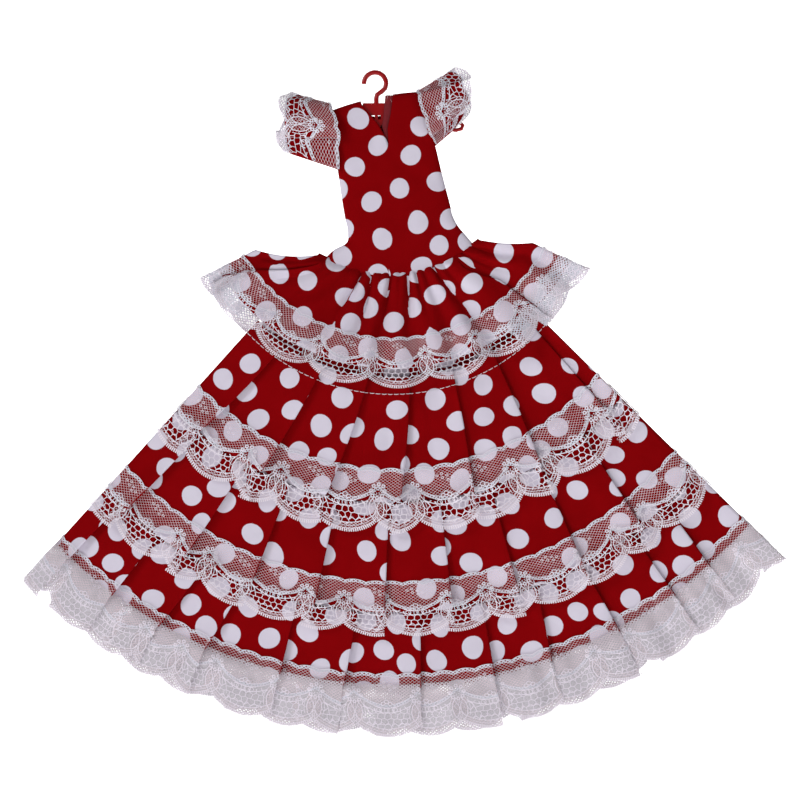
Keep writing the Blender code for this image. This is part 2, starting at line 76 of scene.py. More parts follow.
def surface(tree, inputs):
    """A material's one shader, with these inputs, on its output."""
    shader = node(tree, "ShaderNodeBsdfPrincipled", inputs)
    node(tree, "ShaderNodeOutputMaterial", {"Surface": shader})


# Polystyrene is hard and glossy; a faint ripple from the mould breaks its highlights
polystyrene, tree = new_material("moulded polystyrene")
place = node(tree, "ShaderNodeTexCoord")
ripple = node(tree, "ShaderNodeTexNoise", {"Vector": place.outputs["Object"], "Scale": 900.0, "Detail": 3.0})
bump = node(tree, "ShaderNodeBump", {"Height": ripple, "Strength": 0.12, "Distance": 0.0002})
tone = node(tree, "ShaderNodeMapRange", {"Value": ripple, "To Min": 0.9, "To Max": 1.1})
colour = node(tree, "ShaderNodeVectorMath", {0: linear("#98080E")[:3], "Scale": tone},
              operation="SCALE")
surface(tree, {"Base Color": colour, "Roughness": 0.3, "Specular IOR Level": 0.18,
               "Normal": bump})

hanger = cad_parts["hanger"]
hanger.data.materials.clear()
hanger.data.materials.append(polystyrene)


# Bodice: a long front and back of thin printed cotton, sewn at the sides and shoulders.
# The front is slit at the neck, with its raw edge turned in and a little frayed.
# Printed cotton poplin: matt, smooth and closely woven, with opaque printed dots
DOT_ACROSS = 11.3
# One repeat of the scattered dots, charted: its size and the dots' middles, in mm
REPEAT_OF_PRINT = (86.0, 102.0)
DOTS = ((-9.3, -23.5), (24.5, -28.4), (38.0, -14.0), (49.0, -24.0), (1.3, -38.5),
        (19.2, -44.6), (42.5, -41.0), (59.5, -41.5), (-11.9, -50.7), (35.3, -58.5), (51.5, -57.0),
        (-21.5, -63.2),
        (13.3, -62.9), (-2.2, -69.2), (54.5, -74.0), (22.9, -80.6), (40.9, -79.4), (-17.0, -85.0),
        (4.3, -89.9),
        (35.0, -93.7), (52.4, -91.7), (-18.5, -99.3), (1.9, -109.0), (25.3, -105.0))
PULLED = 2.3         # how far the print is drawn out of true at most
WEAVE = 0.55         # the real thread spacing is 0.25 mm; drawn coarser so that it shows


def printed_cotton(name, dots):
    """Red cotton with a pale print of scattered dots; the map is in metres."""
    material, tree = new_material(name)
    flat = node(tree, "ShaderNodeUVMap", uv_map="cloth")
    # The cloth is drawn a little out of true, so that no two dots have quite the same shape
    drawn = node(tree, "ShaderNodeTexNoise", {"Vector": flat, "Scale": 42.0, "Detail": 0.0})
    pulled = node(tree, "ShaderNodeVectorMath", {
        0: drawn.outputs["Color"], 1: (2 * PULLED * MM, 2 * PULLED * MM, 0.0),
        2: (-PULLED * MM, -PULLED * MM, 0.0)}, operation="MULTIPLY_ADD")
    place = node(tree, "ShaderNodeVectorMath", {0: flat, 1: pulled}, operation="ADD")
    half_x, half_y = (size * MM / 2 for size in REPEAT_OF_PRINT)
    nearest = 1.0
    for x, y in dots:
        away = node(tree, "ShaderNodeVectorMath", {0: place, 1: (x * MM, y * MM, 0.0)}, operation="SUBTRACT")
        inside = node(tree, "ShaderNodeVectorMath", {
            0: away, 1: (half_x, half_y, 1.0), 2: (-half_x, -half_y, -1.0)}, operation="WRAP")
        far = node(tree, "ShaderNodeVectorMath", {0: inside}, operation="LENGTH").outputs["Value"]
        nearest = node(tree, "ShaderNodeMath", {0: nearest, 1: far}, operation="MINIMUM")
    rough = node(tree, "ShaderNodeTexNoise", {"Vector": flat, "Scale": 900.0, "Detail": 2.0})
    edge = node(tree, "ShaderNodeMath", {0: rough, 1: 0.3 * MM, 2: nearest}, operation="MULTIPLY_ADD")
    dot = node(tree, "ShaderNodeMapRange", {
        "Value": edge, "From Min": (DOT_ACROSS / 2 + 0.05) * MM, "From Max": (DOT_ACROSS / 2 + 0.3) * MM,
        "To Min": 1.0, "To Max": 0.0})
    spots = node(tree, "ShaderNodeTexNoise", {"Vector": flat, "Scale": 60.0, "Detail": 4.0})
    red = node(tree, "ShaderNodeMix", {
        0: spots, 6: linear("#7C0105"), 7: linear("#8C0208")}, data_type="RGBA")
    print_ink = node(tree, "ShaderNodeMix", {
        0: spots, 6: linear("#D2CADA"), 7: linear("#E0DAE8")}, data_type="RGBA")
    both = node(tree, "ShaderNodeMix", {
        0: dot, 6: red.outputs[2], 7: print_ink.outputs[2]}, data_type="RGBA")
    threads = node(tree, "ShaderNodeVectorMath", {0: flat, "Scale": 2 * math.pi / (WEAVE * MM)},
                   operation="SCALE")
    thread = node(tree, "ShaderNodeSeparateXYZ", {"Vector": threads})
    warp = node(tree, "ShaderNodeMath", {0: thread.outputs["X"]}, operation="SINE")
    weft = node(tree, "ShaderNodeMath", {0: thread.outputs["Y"]}, operation="SINE")
    woven = node(tree, "ShaderNodeMath", {0: warp, 1: weft}, operation="MULTIPLY")
    bump = node(tree, "ShaderNodeBump", {"Height": woven, "Strength": 0.35, "Distance": 0.00004})
    surface(tree, {"Base Color": both.outputs[2], "Roughness": 0.9, "Specular IOR Level": 0.03,
                   "Normal": bump})
    return material


cotton = printed_cotton("printed cotton poplin", DOTS)


def put(name, data):
    """An object made from its data and linked to the scene."""
    made = bpy.data.objects.new(name, data)
    bpy.context.collection.objects.link(made)
    return made


def quads_of(rows, columns):
    """The faces of a grid of points, as four numbers each."""
    a = (np.arange(rows - 1)[:, None] * columns + np.arange(columns - 1)).reshape(-1)
    return np.stack([a, a + columns, a + columns + 1, a + 1], axis=1)


def mesh_of(name, points, faces, flats, slots, materials):
    """A smooth mesh, with each point's place on the flat cloth and each face's material."""
    mesh = bpy.data.meshes.new(name)
    mesh.from_pydata(points, [], faces.tolist())
    layer = mesh.uv_layers.new(name="cloth")
    order = np.empty(len(mesh.loops), dtype=int)
    mesh.loops.foreach_get("vertex_index", order)
    layer.data.foreach_set("uv", flats[order].ravel())
    for material in materials:
        mesh.materials.append(material)
    mesh.polygons.foreach_set("material_index", slots)
    mesh.polygons.foreach_set("use_smooth", np.ones(len(faces), bool))
    return mesh


def cloth(name, patches, material, wall=0.35):
    """A thin shell over grids of points, each with its places on the flat cloth, all in mm."""
    faces, first = [], 0
    for grid, _ in patches:
        faces.append(quads_of(*grid.shape[:2]) + first)
        first += grid.shape[0] * grid.shape[1]
    points, flats = (np.concatenate([patch[part].reshape(-1, 3 - part) for patch in patches]) * MM
                     for part in (0, 1))
    faces = np.concatenate(faces)
    mesh = mesh_of(name, points, faces, flats, np.zeros(len(faces), int), [material])
    bm = bmesh.new()
    bm.from_mesh(mesh)
    bmesh.ops.remove_doubles(bm, verts=bm.verts, dist=0.000002)
    bm.to_mesh(mesh)
    bm.free()
    piece = put(name, mesh)
    shell = piece.modifiers.new("Cloth", "SOLIDIFY")
    shell.thickness = wall * MM
    shell.offset = 0.0
    return piece


def area_of(grid):
    """The area of a grid of points, in square metres."""
    along = grid[:-1, 1:] - grid[:-1, :-1]
    down = grid[1:, :-1] - grid[:-1, :-1]
    return float(np.linalg.norm(np.cross(along, down), axis=2).sum()) * MM * MM


def run_along(grid, fixed=0):
    """The length along each row of a grid, counted from a column that stays at zero."""
    steps = np.linalg.norm(np.diff(grid, axis=1), axis=2)
    total = np.concatenate([np.zeros((grid.shape[0], 1)), np.cumsum(steps, axis=1)], axis=1)
    return total - total[:, fixed:fixed + 1]


def smooth(values, places, wanted):
    """A rounded curve through values at the places, read where it is wanted."""
    values, places = np.asarray(values, float), np.asarray(places, float)
    slopes = np.gradient(values, places)
    part = np.clip(np.searchsorted(places, wanted, side="right") - 1, 0, len(places) - 2)
    gap = places[part + 1] - places[part]
    t = (wanted - places[part]) / gap
    return ((2 * t ** 3 - 3 * t ** 2 + 1) * values[part] + (t ** 3 - 2 * t ** 2 + t) * gap * slopes[part]
            + (3 * t ** 2 - 2 * t ** 3) * values[part + 1] + (t ** 3 - t ** 2) * gap * slopes[part + 1])


def creased(grid, creases, turn):
    """Soft creases pressed into a grid: from, to, how wide and how deep, in mm in X and Z."""
    flat = grid[..., [0, 2]]
    for start, end, width, depth in creases:
        start, line = np.array(start), np.subtract(end, start)
        share = np.clip(((flat - start) @ line) / (line @ line), 0.0, 1.0)
        off = np.linalg.norm(flat - start - share[..., None] * line, axis=-1)
        fade = np.sin(np.pi * np.clip(share, 0.08, 0.92)) ** 0.5
        grid[..., 1] += -turn * depth * fade * np.exp(-(off / width) ** 2)
    return grid


SEAM = 0.15          # half of the gap between front and back at a seam
# Outline, sag and depth of the bodice from the dropped waist up to the shoulders
BODICE = {
    "height": (0.0, 0.03, 0.09, 0.17, 0.28, 0.47, 0.59, 0.66, 0.75, 0.88, 0.95, 1.0),
    "left_x": (-26.3, -22.9, -15.8, -14.7, -16.4, -19.6, -21.0, -20.6, -20.2, -22.6, -23.2, -23.4),
    "left_z": (-99.8, -96.5, -92.7, -86.7, -77.9, -57.2, -45.0, -39.0, -30.0, -22.4, -20.4, -19.6),
    "right_x": (53.0, 50.1, 45.8, 42.5, 40.9, 36.2, 33.0, 31.4, 28.3, 23.6, 22.8, 22.6),
    "right_z": (-92.3, -88.8, -83.9, -77.9, -71.4, -53.4, -40.0, -34.0, -26.0, -13.2, -10.6, -9.6),
    "sag": (12.0, 8.7, 5.5, 2.7, 1.0, 0.0, 0.0, 0.0, -0.5, -1.4, -1.7, -1.8),
    "depth": (3.2, 3.4, 3.6, 3.7, 3.7, 3.6, 3.5, 3.4, 3.3, 3.0, 2.4, 0.4),
    "open": (0.0, 0.0, 0.0, 0.0, 0.0, 0.0, 0.0, 1.0, 1.0, 1.0, 1.0, 1.0),
}
# How a row runs round from seam to seam: its place in X, and how full it stands
ROUND = {"turn": (0.0, 0.05, 0.1, 0.18, 0.32, 0.5, 0.68, 0.82, 0.9, 0.95, 1.0),
         "share": (0.0, 0.0, 0.035, 0.12, 0.3, 0.5, 0.7, 0.88, 0.965, 1.0, 1.0),
         "full": (0.0, 0.42, 0.76, 0.93, 1.0, 1.0, 1.0, 0.93, 0.76, 0.42, 0.0)}
SLIT_FOOT = 7.4      # where the slit ends, in X
SLIT = {"z": (-60.0, -38.8, -33.0, -27.1, -16.9, -10.0), "left": (7.4, 7.4, 4.9, 1.5, -7.2, -9.4),
        "right_z": (-60.0, -38.8, -30.0, -22.0, -12.0, -6.0), "right": (7.4, 7.4, 6.8, 8.5, 9.8, 10.2)}
# The low neck edge of the back
SCOOP = {"x": (-10.6, -9.2, -5.0, 0.4, 5.8, 10.0, 11.4),
         "z": (-10.0, -19.0, -23.6, -25.0, -23.6, -19.0, -6.0)}
BODICE_COLUMNS = 23  # on each side of the slit
# Creases as they lie in the photograph, and their like on the back
BODICE_CREASES = {
    "front": (((-16, -100), (4, -84), 2.6, 0.5), ((46, -92), (28, -78), 3.0, 0.6),
              ((-17, -66), (2, -60), 3.4, 0.35), ((36, -60), (17, -52), 3.2, 0.4),
              ((-19, -44), (-4, -34), 2.8, 0.35), ((31, -38), (16, -30), 2.6, 0.4),
              ((14, -104), (17, -90), 2.2, 0.4), ((-2, -26), (2, -60), 3.6, 0.25)),
    "back": (((-15, -96), (6, -82), 2.8, 0.5), ((44, -90), (24, -80), 2.6, 0.45),
             ((-18, -60), (4, -52), 3.4, 0.4), ((34, -52), (15, -46), 3.0, 0.35),
             ((-20, -38), (-6, -30), 2.6, 0.3), ((8, -30), (10, -58), 3.8, 0.3)),
}


def bodice_point(height, turn, side):
    """A point of the bodice: how far up, how far round from its left seam, and its side."""
    row = {key: smooth(BODICE[key], BODICE["height"], height)
           for key in ("left_x", "left_z", "right_x", "right_z", "sag")}
    depth = np.interp(height, BODICE["height"], BODICE["depth"])
    opened = np.interp(height, BODICE["height"], BODICE["open"])
    share = np.interp(turn, ROUND["turn"], ROUND["share"])
    full = np.interp(turn, ROUND["turn"], ROUND["full"])
    full = full + (1 - full) * 0.8 * opened
    x = row["left_x"] + (row["right_x"] - row["left_x"]) * share
    z = row["left_z"] + (row["right_z"] - row["left_z"]) * share - row["sag"] * 4 * share * (1 - share)
    return np.stack([x, side * (SEAM + (depth - SEAM) * full), z], axis=-1)


def turn_at(height, wanted_x, side):
    """How far round the bodice a row reaches a place in X."""
    turns = np.linspace(0.1, 0.9, 161)
    return float(np.interp(wanted_x, bodice_point(np.full(161, height), turns, side)[:, 0], turns))


def build_bodice(half, side):
    """One half of the bodice, in two patches that meet at the slit and below its foot."""
    heights = np.concatenate([[-0.01], np.linspace(0.0, 0.94, 48), [0.96, 0.975, 0.99, 1.0]])
    left, right = [], []
    for height in heights:
        edge, other = SLIT_FOOT, SLIT_FOOT
        if half == "front":
            # The slit is charted by Z, and a row sags, so its edges are found in a few steps
            for _ in range(6):
                z = bodice_point(np.array([height]), np.array([turn_at(height, edge, side)]), side)[0, 2]
                edge = float(np.interp(z, SLIT["z"], SLIT["left"]))
                z = bodice_point(np.array([height]), np.array([turn_at(height, other, side)]), side)[0, 2]
                other = float(np.interp(z, SLIT["right_z"], SLIT["right"]))
        for rows, low, high in ((left, 0.0, turn_at(height, edge, side)),
                                (right, turn_at(height, other, side), 1.0)):
            turns = low + (high - low) * np.linspace(0.0, 1.0, BODICE_COLUMNS)
            rows.append(bodice_point(np.full(BODICE_COLUMNS, height), turns, side))
    patches, middle = [], BODICE_COLUMNS // 2
    for rows in (left, right):
        grid = np.array(rows)
        if half == "back":
            floor_z = np.interp(grid[..., 0], SCOOP["x"], SCOOP["z"], left=0.0, right=0.0)
            grid[..., 2] = np.minimum(grid[..., 2], floor_z + 0.15 * (grid[..., 2] - floor_z))
        grid = creased(grid, BODICE_CREASES[half], side)
        flat = np.stack([run_along(grid, middle) + grid[:, middle:middle + 1, 0], grid[..., 2]], axis=-1)
        patches.append((grid, flat))
    piece = cloth(f"bodice_{half}_cloth", patches, cotton)
    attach(piece, "root")
    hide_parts(f"bodice_{half}")


build_bodice("front", -1)
build_bodice("back", 1)


# Neck facing: the slit's right edge turned back, so that the cotton's darker wrong side shows.
# Its raw end is frayed into pale threads at the top.
# The wrong side of the print, where the dye comes through darker and duller
wrong_side, tree = new_material("wrong side of printed cotton")
place = node(tree, "ShaderNodeTexCoord")
mottle = node(tree, "ShaderNodeTexNoise", {"Vector": place.outputs["Object"], "Scale": 400.0, "Detail": 5.0})
colour = node(tree, "ShaderNodeMix", {
    0: mottle, 6: linear("#62040F"), 7: linear("#80101F")}, data_type="RGBA")
bump = node(tree, "ShaderNodeBump", {"Height": mottle, "Strength": 0.3, "Distance": 0.0002})
surface(tree, {"Base Color": colour.outputs[2], "Roughness": 0.9, "Normal": bump})

# Raw cotton thread where the print has frayed: pale pink and fuzzy
raw_thread, tree = new_material("raw cotton thread")
surface(tree, {"Base Color": linear("#C9A7AE"), "Roughness": 0.9, "Sheen Weight": 0.3})

FACING = {"z": (-11.6, -16.0, -22.2, -28.5, -36.8), "left": (5.6, 5.2, 4.7, 3.8, 5.9),
          "right": (10.0, 9.7, 9.0, 7.5, 7.4)}
# Seven points across, a little bowed and wavy, just inside the bodice's front
downs = np.linspace(-11.6, -36.5, 22)
rows = []
for z in downs:
    low, high = (float(np.interp(-z, [-v for v in FACING["z"]], FACING[key])) for key in ("left", "right"))
    across = np.linspace(low, high, 7)
    bow = 0.35 * np.sin(np.linspace(0.0, np.pi, 7)) + 0.12 * math.sin(z * 0.9)
    rows.append(np.stack([across, -2.1 - bow, np.full(7, z)], axis=-1))
grid = np.array(rows)
facing = cloth("slit_facing", [(grid, grid[..., [0, 2]])], wrong_side, wall=0.3)
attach(facing, "root")
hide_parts("neck_facing")


def as_mesh(name, source):
    """A plain mesh object of what a source object evaluates to; the source is removed."""
    graph = bpy.context.evaluated_depsgraph_get()
    made = put(name, bpy.data.meshes.new_from_object(source.evaluated_get(graph)))
    bpy.data.objects.remove(source)
    return made


# Sixteen short threads that stand up from the raw end, each bent its own way
chance = np.random.default_rng(7)
fray = bpy.data.curves.new("frayed_threads", "CURVE")
fray.dimensions = "3D"
fray.bevel_depth = 0.11 * MM
fray.bevel_resolution = 1
for number in range(16):
    start = np.array([6.0 + 3.6 * chance.random(), -2.3, -12.4 - 3.0 * chance.random()])
    reach = np.array([chance.normal(0.0, 0.9), -0.3 * chance.random(), 1.2 + 2.4 * chance.random()])
    spline = fray.splines.new("POLY")
    spline.points.add(3)
    for share, point in zip((0.0, 0.35, 0.7, 1.0), spline.points):
        bend = np.array([0.35 * math.sin(3 * share + number), 0.0, 0.0])
        point.co = (*((start + reach * share + bend * share) * MM), 1.0)
fringe = as_mesh("frayed_edge", put("frayed_threads", fray))
fringe.data.materials.clear()
fringe.data.materials.append(raw_thread)
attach(fringe, "root")


# Yoke: the plain top of the skirt, of the same print, sewn to the bodice and hidden for the
# most part by the peplum. The skirt lies flat as a fan about a point in the bodice.
# The fan's point in X and Z, and the angles of the skirt's two side edges
FAN = {"x": 9.3, "z": -54.0, "left": -42.0, "right": 45.3}
FAN_MIDDLE = (FAN["left"] + FAN["right"]) / 2
FAN_HALF = (FAN["right"] - FAN["left"]) / 2


def on_fan(angle, radius, depth, half):
    """Points at angles and radii of the fan; the back mirrors the front or is turned from it."""
    swung = np.radians(2 * FAN_MIDDLE - angle if half == "turned" else angle)
    side = -1 if half == "front" else 1
    return np.stack([FAN["x"] + radius * np.sin(swung), side * depth + 0 * swung,
                     FAN["z"] - radius * np.cos(swung)], axis=-1)


def bowed(middle, side, angle):
    """A radius that runs from the fan's middle to its sides."""
    across = np.minimum(1.0, np.abs((angle - FAN_MIDDLE) / FAN_HALF))
    return side + (middle - side) * (1 - across ** 2)


def arc(length, radius):
    """The angle, in degrees, that a length takes up on a ring."""
    return np.degrees(length / radius)


# Radii and side angles from the waist down to the upper tier, and half the yoke's depth
YOKE = {"share": (0.0, 0.5, 1.0), "middle": (54.3, 88.0, 124.0), "side": (60.8, 90.0, 121.5),
        "left": (-40.2, -41.2, -41.2), "right": (50.5, 44.6, 44.6)}
YOKE_DEPTH = 3.0
UNROLLED = 90.0      # the radius at which the yoke is laid flat for its map
for half, shift in (("front", 0.0), ("back", 230.0)):
    turns = np.linspace(0.0, 1.0, 61)
    share = np.interp(turns, ROUND["turn"], ROUND["share"])
    full = np.interp(turns, ROUND["turn"], ROUND["full"])
    rows, flats = [], []
    for down in np.linspace(0.0, 1.0, 12):
        row = {key: np.interp(down, YOKE["share"], YOKE[key]) for key in YOKE}
        angle = row["left"] + (row["right"] - row["left"]) * share
        radius = bowed(row["middle"], row["side"], angle)
        rows.append(on_fan(angle, radius, SEAM + (YOKE_DEPTH - SEAM) * full, half))
        flats.append(np.stack([np.radians(angle) * UNROLLED + shift, -radius], axis=-1))
    grid = np.array(rows)
    yoke = cloth(f"yoke_{half}_cloth", [(grid, np.array(flats))], cotton)
    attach(yoke, "root")
    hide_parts(f"yoke_{half}")


# Tiers: three straight strips of the print, knife pleated left over right and pressed, each
# sewn under the one above. The pleats run on round the back.
FOLD_DEPTH = 7.45    # how far a folded edge stands from the garment's middle
LAYER = 1.3          # how far one layer of a pleat lies behind the next
TUCK = 3.4           # how far a panel runs on under the fold on its left
NOSE = 0.65          # how far a folded edge is rounded
ROUND_FOLD = 2.0     # what one rounded edge takes up of the strip
# Radii at the fan's middle and sides, and the angles of the folded edges, top and bottom
TIERS = {
    "tier_upper": {"top": (112.0, 109.0), "bottom": (180.0, 175.0),
                   "folds_top": (-32.0, -19.5, -6.5, 5.0, 17.0, 29.3, 42.4),
                   "folds_bottom": (-36.6, -23.6, -11.6, 1.4, 14.4, 27.0, 42.0)},
    "tier_middle": {"top": (180.3, 175.3), "bottom": (240.0, 233.0),
                    "folds_top": (-36.3, -26.6, -18.2, -9.6, -0.6, 8.3, 17.4, 26.6, 35.8),
                    "folds_bottom": (-38.2, -28.3, -18.9, -10.2, -1.0, 7.9, 16.8, 26.0, 35.2)},
    "tier_lower": {"top": (240.3, 233.3), "bottom": (281.2, 274.1),
                   "folds_top": (-39.4, -32.8, -25.4, -19.8, -12.5, -4.5, 3.6, 11.8, 19.2, 25.9, 33.6, 39.4),
                   "folds_bottom": (
                       -39.9, -33.5, -27.2, -21.4, -12.6, -5.4, 3.2, 11.5, 18.1, 26.4, 33.8, 38.9)},
}
# The skirt's halves: how each is placed, and where it is cut from the print
SKIRT_HALVES = (("front", "front", 0.0), ("back", "turned", 700.0))


def folds_at(tier, share):
    """The angles of a tier's folded edges, at a share of its height."""
    share = min(share, 1.0)
    return [a + (b - a) * share for a, b in zip(tier["folds_top"], tier["folds_bottom"])]


def panels_at(folds, radius):
    """Each panel between two folds: where it starts, its folded edge and its slope."""
    panels = []
    start, depth = FAN["left"], FOLD_DEPTH - 2 * LAYER
    for fold in (*folds, FAN["right"]):
        crest = fold - arc(NOSE, radius) if fold != FAN["right"] else fold
        slope = (FOLD_DEPTH - depth) / (math.radians(crest - start) * radius)
        panels.append({"start": start, "crest": crest, "slope": slope})
        start, depth = fold - arc(TUCK, radius), FOLD_DEPTH - slope * TUCK - 2 * LAYER
    return panels


def strip_places(folds, radius, hidden):
    """Where each folded edge lies on the flat strip; hidden is what each fold takes up."""
    places, total = [], 0.0
    for panel in panels_at(folds, radius):
        total += width_of(panel, radius) + hidden
        places.append(total)
    return places


def width_of(panel, radius):
    """The length of a panel along its ring."""
    return math.radians(panel["crest"] - panel["start"]) * radius


def pleat_depth(panel, number, angles, radius, share, seed):
    """How far the cloth of one pleat stands out: it opens towards its lower edge, and wavers."""
    angles = np.atleast_1d(angles)
    across = np.clip((angles - panel["start"]) / (panel["crest"] - panel["start"]), 0.0, 1.0)
    width = width_of(panel, radius)
    belly = (0.25 + 0.55 * share) * np.sin(np.pi * across) * (1.0 if number % 2 else -0.45)
    opened = 1.5 * share ** 2 * across ** 2
    waver = [noise.noise(Vector((a * 0.12, radius * 0.035, seed)))
             + 0.5 * noise.noise(Vector((a * 0.42, radius * 0.02, seed + 9.0))) for a in angles]
    return FOLD_DEPTH - panel["slope"] * width * (1 - across) + belly + opened + np.array(waver)


def pleat_ring(folds, radius, places, share, seed):
    """Angles, depths and flat lengths along a ring of knife pleats."""
    angles, depths, flats = [], [], []

    def add(angle, depth, flat):
        angles.append(angle)
        depths.append(float(depth))
        flats.append(flat)

    panels = panels_at(folds, radius)
    for number, (panel, place) in enumerate(zip(panels, places)):
        width = width_of(panel, radius)
        across = np.linspace(panel["start"], panel["crest"], 21)
        cloth_depths = pleat_depth(panel, number, across, radius, share, seed)
        crest_depth = cloth_depths[-1]
        # Out from the left side seam, and along the panel
        if number == 0:
            for part in (0.0, 0.35, 0.7, 0.9):
                add(FAN["left"] - arc(0.5 * math.sin(math.pi * part), radius),
                    SEAM + (cloth_depths[0] - SEAM) * part, place - width - cloth_depths[0] * (1 - part))
        for angle, depth in zip(across, cloth_depths):
            add(angle, depth, place - math.radians(panel["crest"] - angle) * radius)
        # In to the right side seam, or round the fold and back under it
        if number == len(panels) - 1:
            for part in (0.1, 0.3, 0.65, 1.0):
                add(FAN["right"] + arc(0.5 * math.sin(math.pi * part), radius),
                    crest_depth + (SEAM - crest_depth) * part, place + crest_depth * part)
            break
        for turn in (30, 60, 90, 120, 150):
            add(panel["crest"] + arc(NOSE * math.sin(math.radians(turn)), radius),
                crest_depth - LAYER / 2 * (1 - math.cos(math.radians(turn))), place + ROUND_FOLD * turn / 180)
        back = folds[number] - arc(TUCK, radius)
        under = pleat_depth(panel, number, [back], radius, share, seed)[0]
        add(panel["crest"], crest_depth - LAYER, place + ROUND_FOLD)
        add(back, under - LAYER, place + TUCK + 1.4)
        add(back - arc(NOSE, radius), under - 1.5 * LAYER, place + TUCK + 2.4)
    return np.array(angles), np.array(depths), np.array(flats)


for number, (name, tier) in enumerate(TIERS.items()):
    for side, half, shift in SKIRT_HALVES:
        rows, flats = [], []
        places = strip_places(folds_at(tier, 1.0), tier["bottom"][0], 2 * TUCK + 8.0)
        tier[side] = 5.0 * number + (side == "back") * 40
        for share in np.linspace(0.0, 1.0, 24):
            middle, edge = (top + (low - top) * share for top, low in zip(tier["top"], tier["bottom"]))
            angles, depths, flat = pleat_ring(folds_at(tier, share), middle, places, share, tier[side])
            radius = bowed(middle, edge, angles)
            rows.append(on_fan(angles, radius, depths, half))
            flats.append(np.stack([flat + shift + 37.0 * number, -radius], axis=-1))
        grid = np.array(rows)
        tier_cloth = cloth(f"{name}_{side}_cloth", [(grid, np.array(flats))], cotton)
        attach(tier_cloth, "root")
        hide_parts(f"{name}_{side}")
        size = area_of(grid)


# Peplum: a strip of the print gathered into the dropped waist, so that it springs out in
# uneven soft folds over the top of the skirt. At each side it is folded once over itself.
# Radii of its seam and hem at the fan's middle and sides, and where it is fully spread
PEPLUM = {"seam": (54.3, 60.8), "hem": (107.0, 108.5), "spread": 82.0}
WAIST = 54.0         # the radius where the gathers start
# The ridges between the gathers: their angles at seam and hem, and how high each stands
GATHERS = {"seam": (-42.0, -37.0, -29.0, -20.5, -12.0, -4.5, 3.5, 12.0, 22.0, 33.0, 42.0, 52.4),
           "hem": (-60.4, -54.0, -41.0, -29.0, -18.0, -7.5, 3.0, 14.0, 25.0, 38.0, 54.5, 63.2),
           "size": (0.6, 1.0, 0.7, 1.15, 0.8, 1.0, 0.75, 1.1, 1.2, 1.0, 0.7, 0.6)}
# Puckers from the seam: where each leaves it, where it ends, how deep it is and how far it runs
PUCKERS = {
    "front": ((-31.0, -38.0, 0.5, 84), (-22.5, -27.0, 0.6, 78), (-16.6, -20.8, 1.5, 96),
              (-11.5, -11.0, 1.6, 90), (-5.5, -8.0, 0.6, 70), (-0.3, -4.5, 1.7, 92), (4.5, 1.5, 0.5, 68),
              (9.2, 5.8, 1.7, 90), (13.4, 13.8, 1.3, 80), (18.0, 20.0, 0.6, 72), (23.3, 28.6, 1.5, 98),
              (29.0, 33.5, 0.6, 74), (41.0, 51.0, 1.1, 80), (47.5, 58.0, 0.9, 78)),
    "back": ((-34.0, -41.0, 0.9, 88), (-26.0, -30.0, 0.6, 74), (-19.0, -22.0, 1.4, 92),
             (-13.5, -16.0, 0.7, 72), (-7.0, -9.5, 1.5, 96), (-2.0, -2.5, 0.8, 74), (3.5, 5.0, 1.6, 88),
             (11.0, 11.5, 1.0, 80), (16.0, 19.0, 0.7, 70), (21.0, 25.5, 1.4, 94), (28.5, 34.5, 0.8, 78),
             (42.0, 51.0, 1.0, 82)),
}
# Folds over itself: its line in radius and angle, and which side lies on top
PEPLUM_FOLDS = {
    "front": (((60.0, 87.0, 105.0), (-38.7, -53.2, -58.0), "right"),
              ((63.0, 81.0, 117.0), (36.6, 44.7, 47.5), "left")),
    "back": (((60.0, 84.0, 110.0), (-38.0, -47.0, -51.0), "right"),
             ((62.0, 84.0, 115.0), (38.0, 46.5, 50.0), "left")),
}
PEPLUM_COLUMNS = (18, 130, 34)      # points left of, between and right of the two folds


def ridges_at(middle):
    """The angles of the ridges on one ring."""
    spread = min(1.0, max(0.0, (middle - WAIST) / (PEPLUM["spread"] - WAIST)))
    return [a + (b - a) * spread for a, b in zip(GATHERS["seam"], GATHERS["hem"])]


def pucker_at(radius, seam, end):
    """The angle of a pucker at a radius; it runs out past its end a little."""
    return np.interp(radius, (WAIST, 84.0, 110.0), (seam, end, end + (end - seam) * 0.3))


def peplum_height(angles, middle, lift, half):
    """How far the peplum stands out at angles of one ring, before it is folded over."""
    crests = ridges_at(middle)
    fall = (middle - WAIST) / (PEPLUM["hem"][0] - WAIST)
    slack = 1.0 - math.exp(-(max(0.0, middle - 52.6) / 3.2) ** 2)
    number = np.clip(np.searchsorted(crests, angles) - 1, 0, len(crests) - 2)
    share = np.clip((angles - np.take(crests, number)) / np.diff(crests)[number], 0.0, 1.0)
    size = np.take(GATHERS["size"], number) * (1 - share) + np.take(GATHERS["size"], number + 1) * share
    swell = size * (0.5 + 0.5 * np.cos(2 * np.pi * share)) ** 0.8
    depth = 2.1 + 2.4 * slack + 4.5 * fall + lift + (0.9 + 2.3 * fall) * (0.1 + 0.9 * slack) * swell
    for seam, end, deep, reach in PUCKERS[half]:
        away = np.radians(angles - pucker_at(middle, seam, end)) * middle
        wide = 0.9 + 0.065 * max(0.0, middle - WAIST)
        fade = 1.0 / (1.0 + math.exp((middle - reach) / 4.0))
        depth = depth - 1.75 * deep * fade * (0.3 + 0.7 * slack) * np.exp(-(away / wide) ** 2)
    return depth


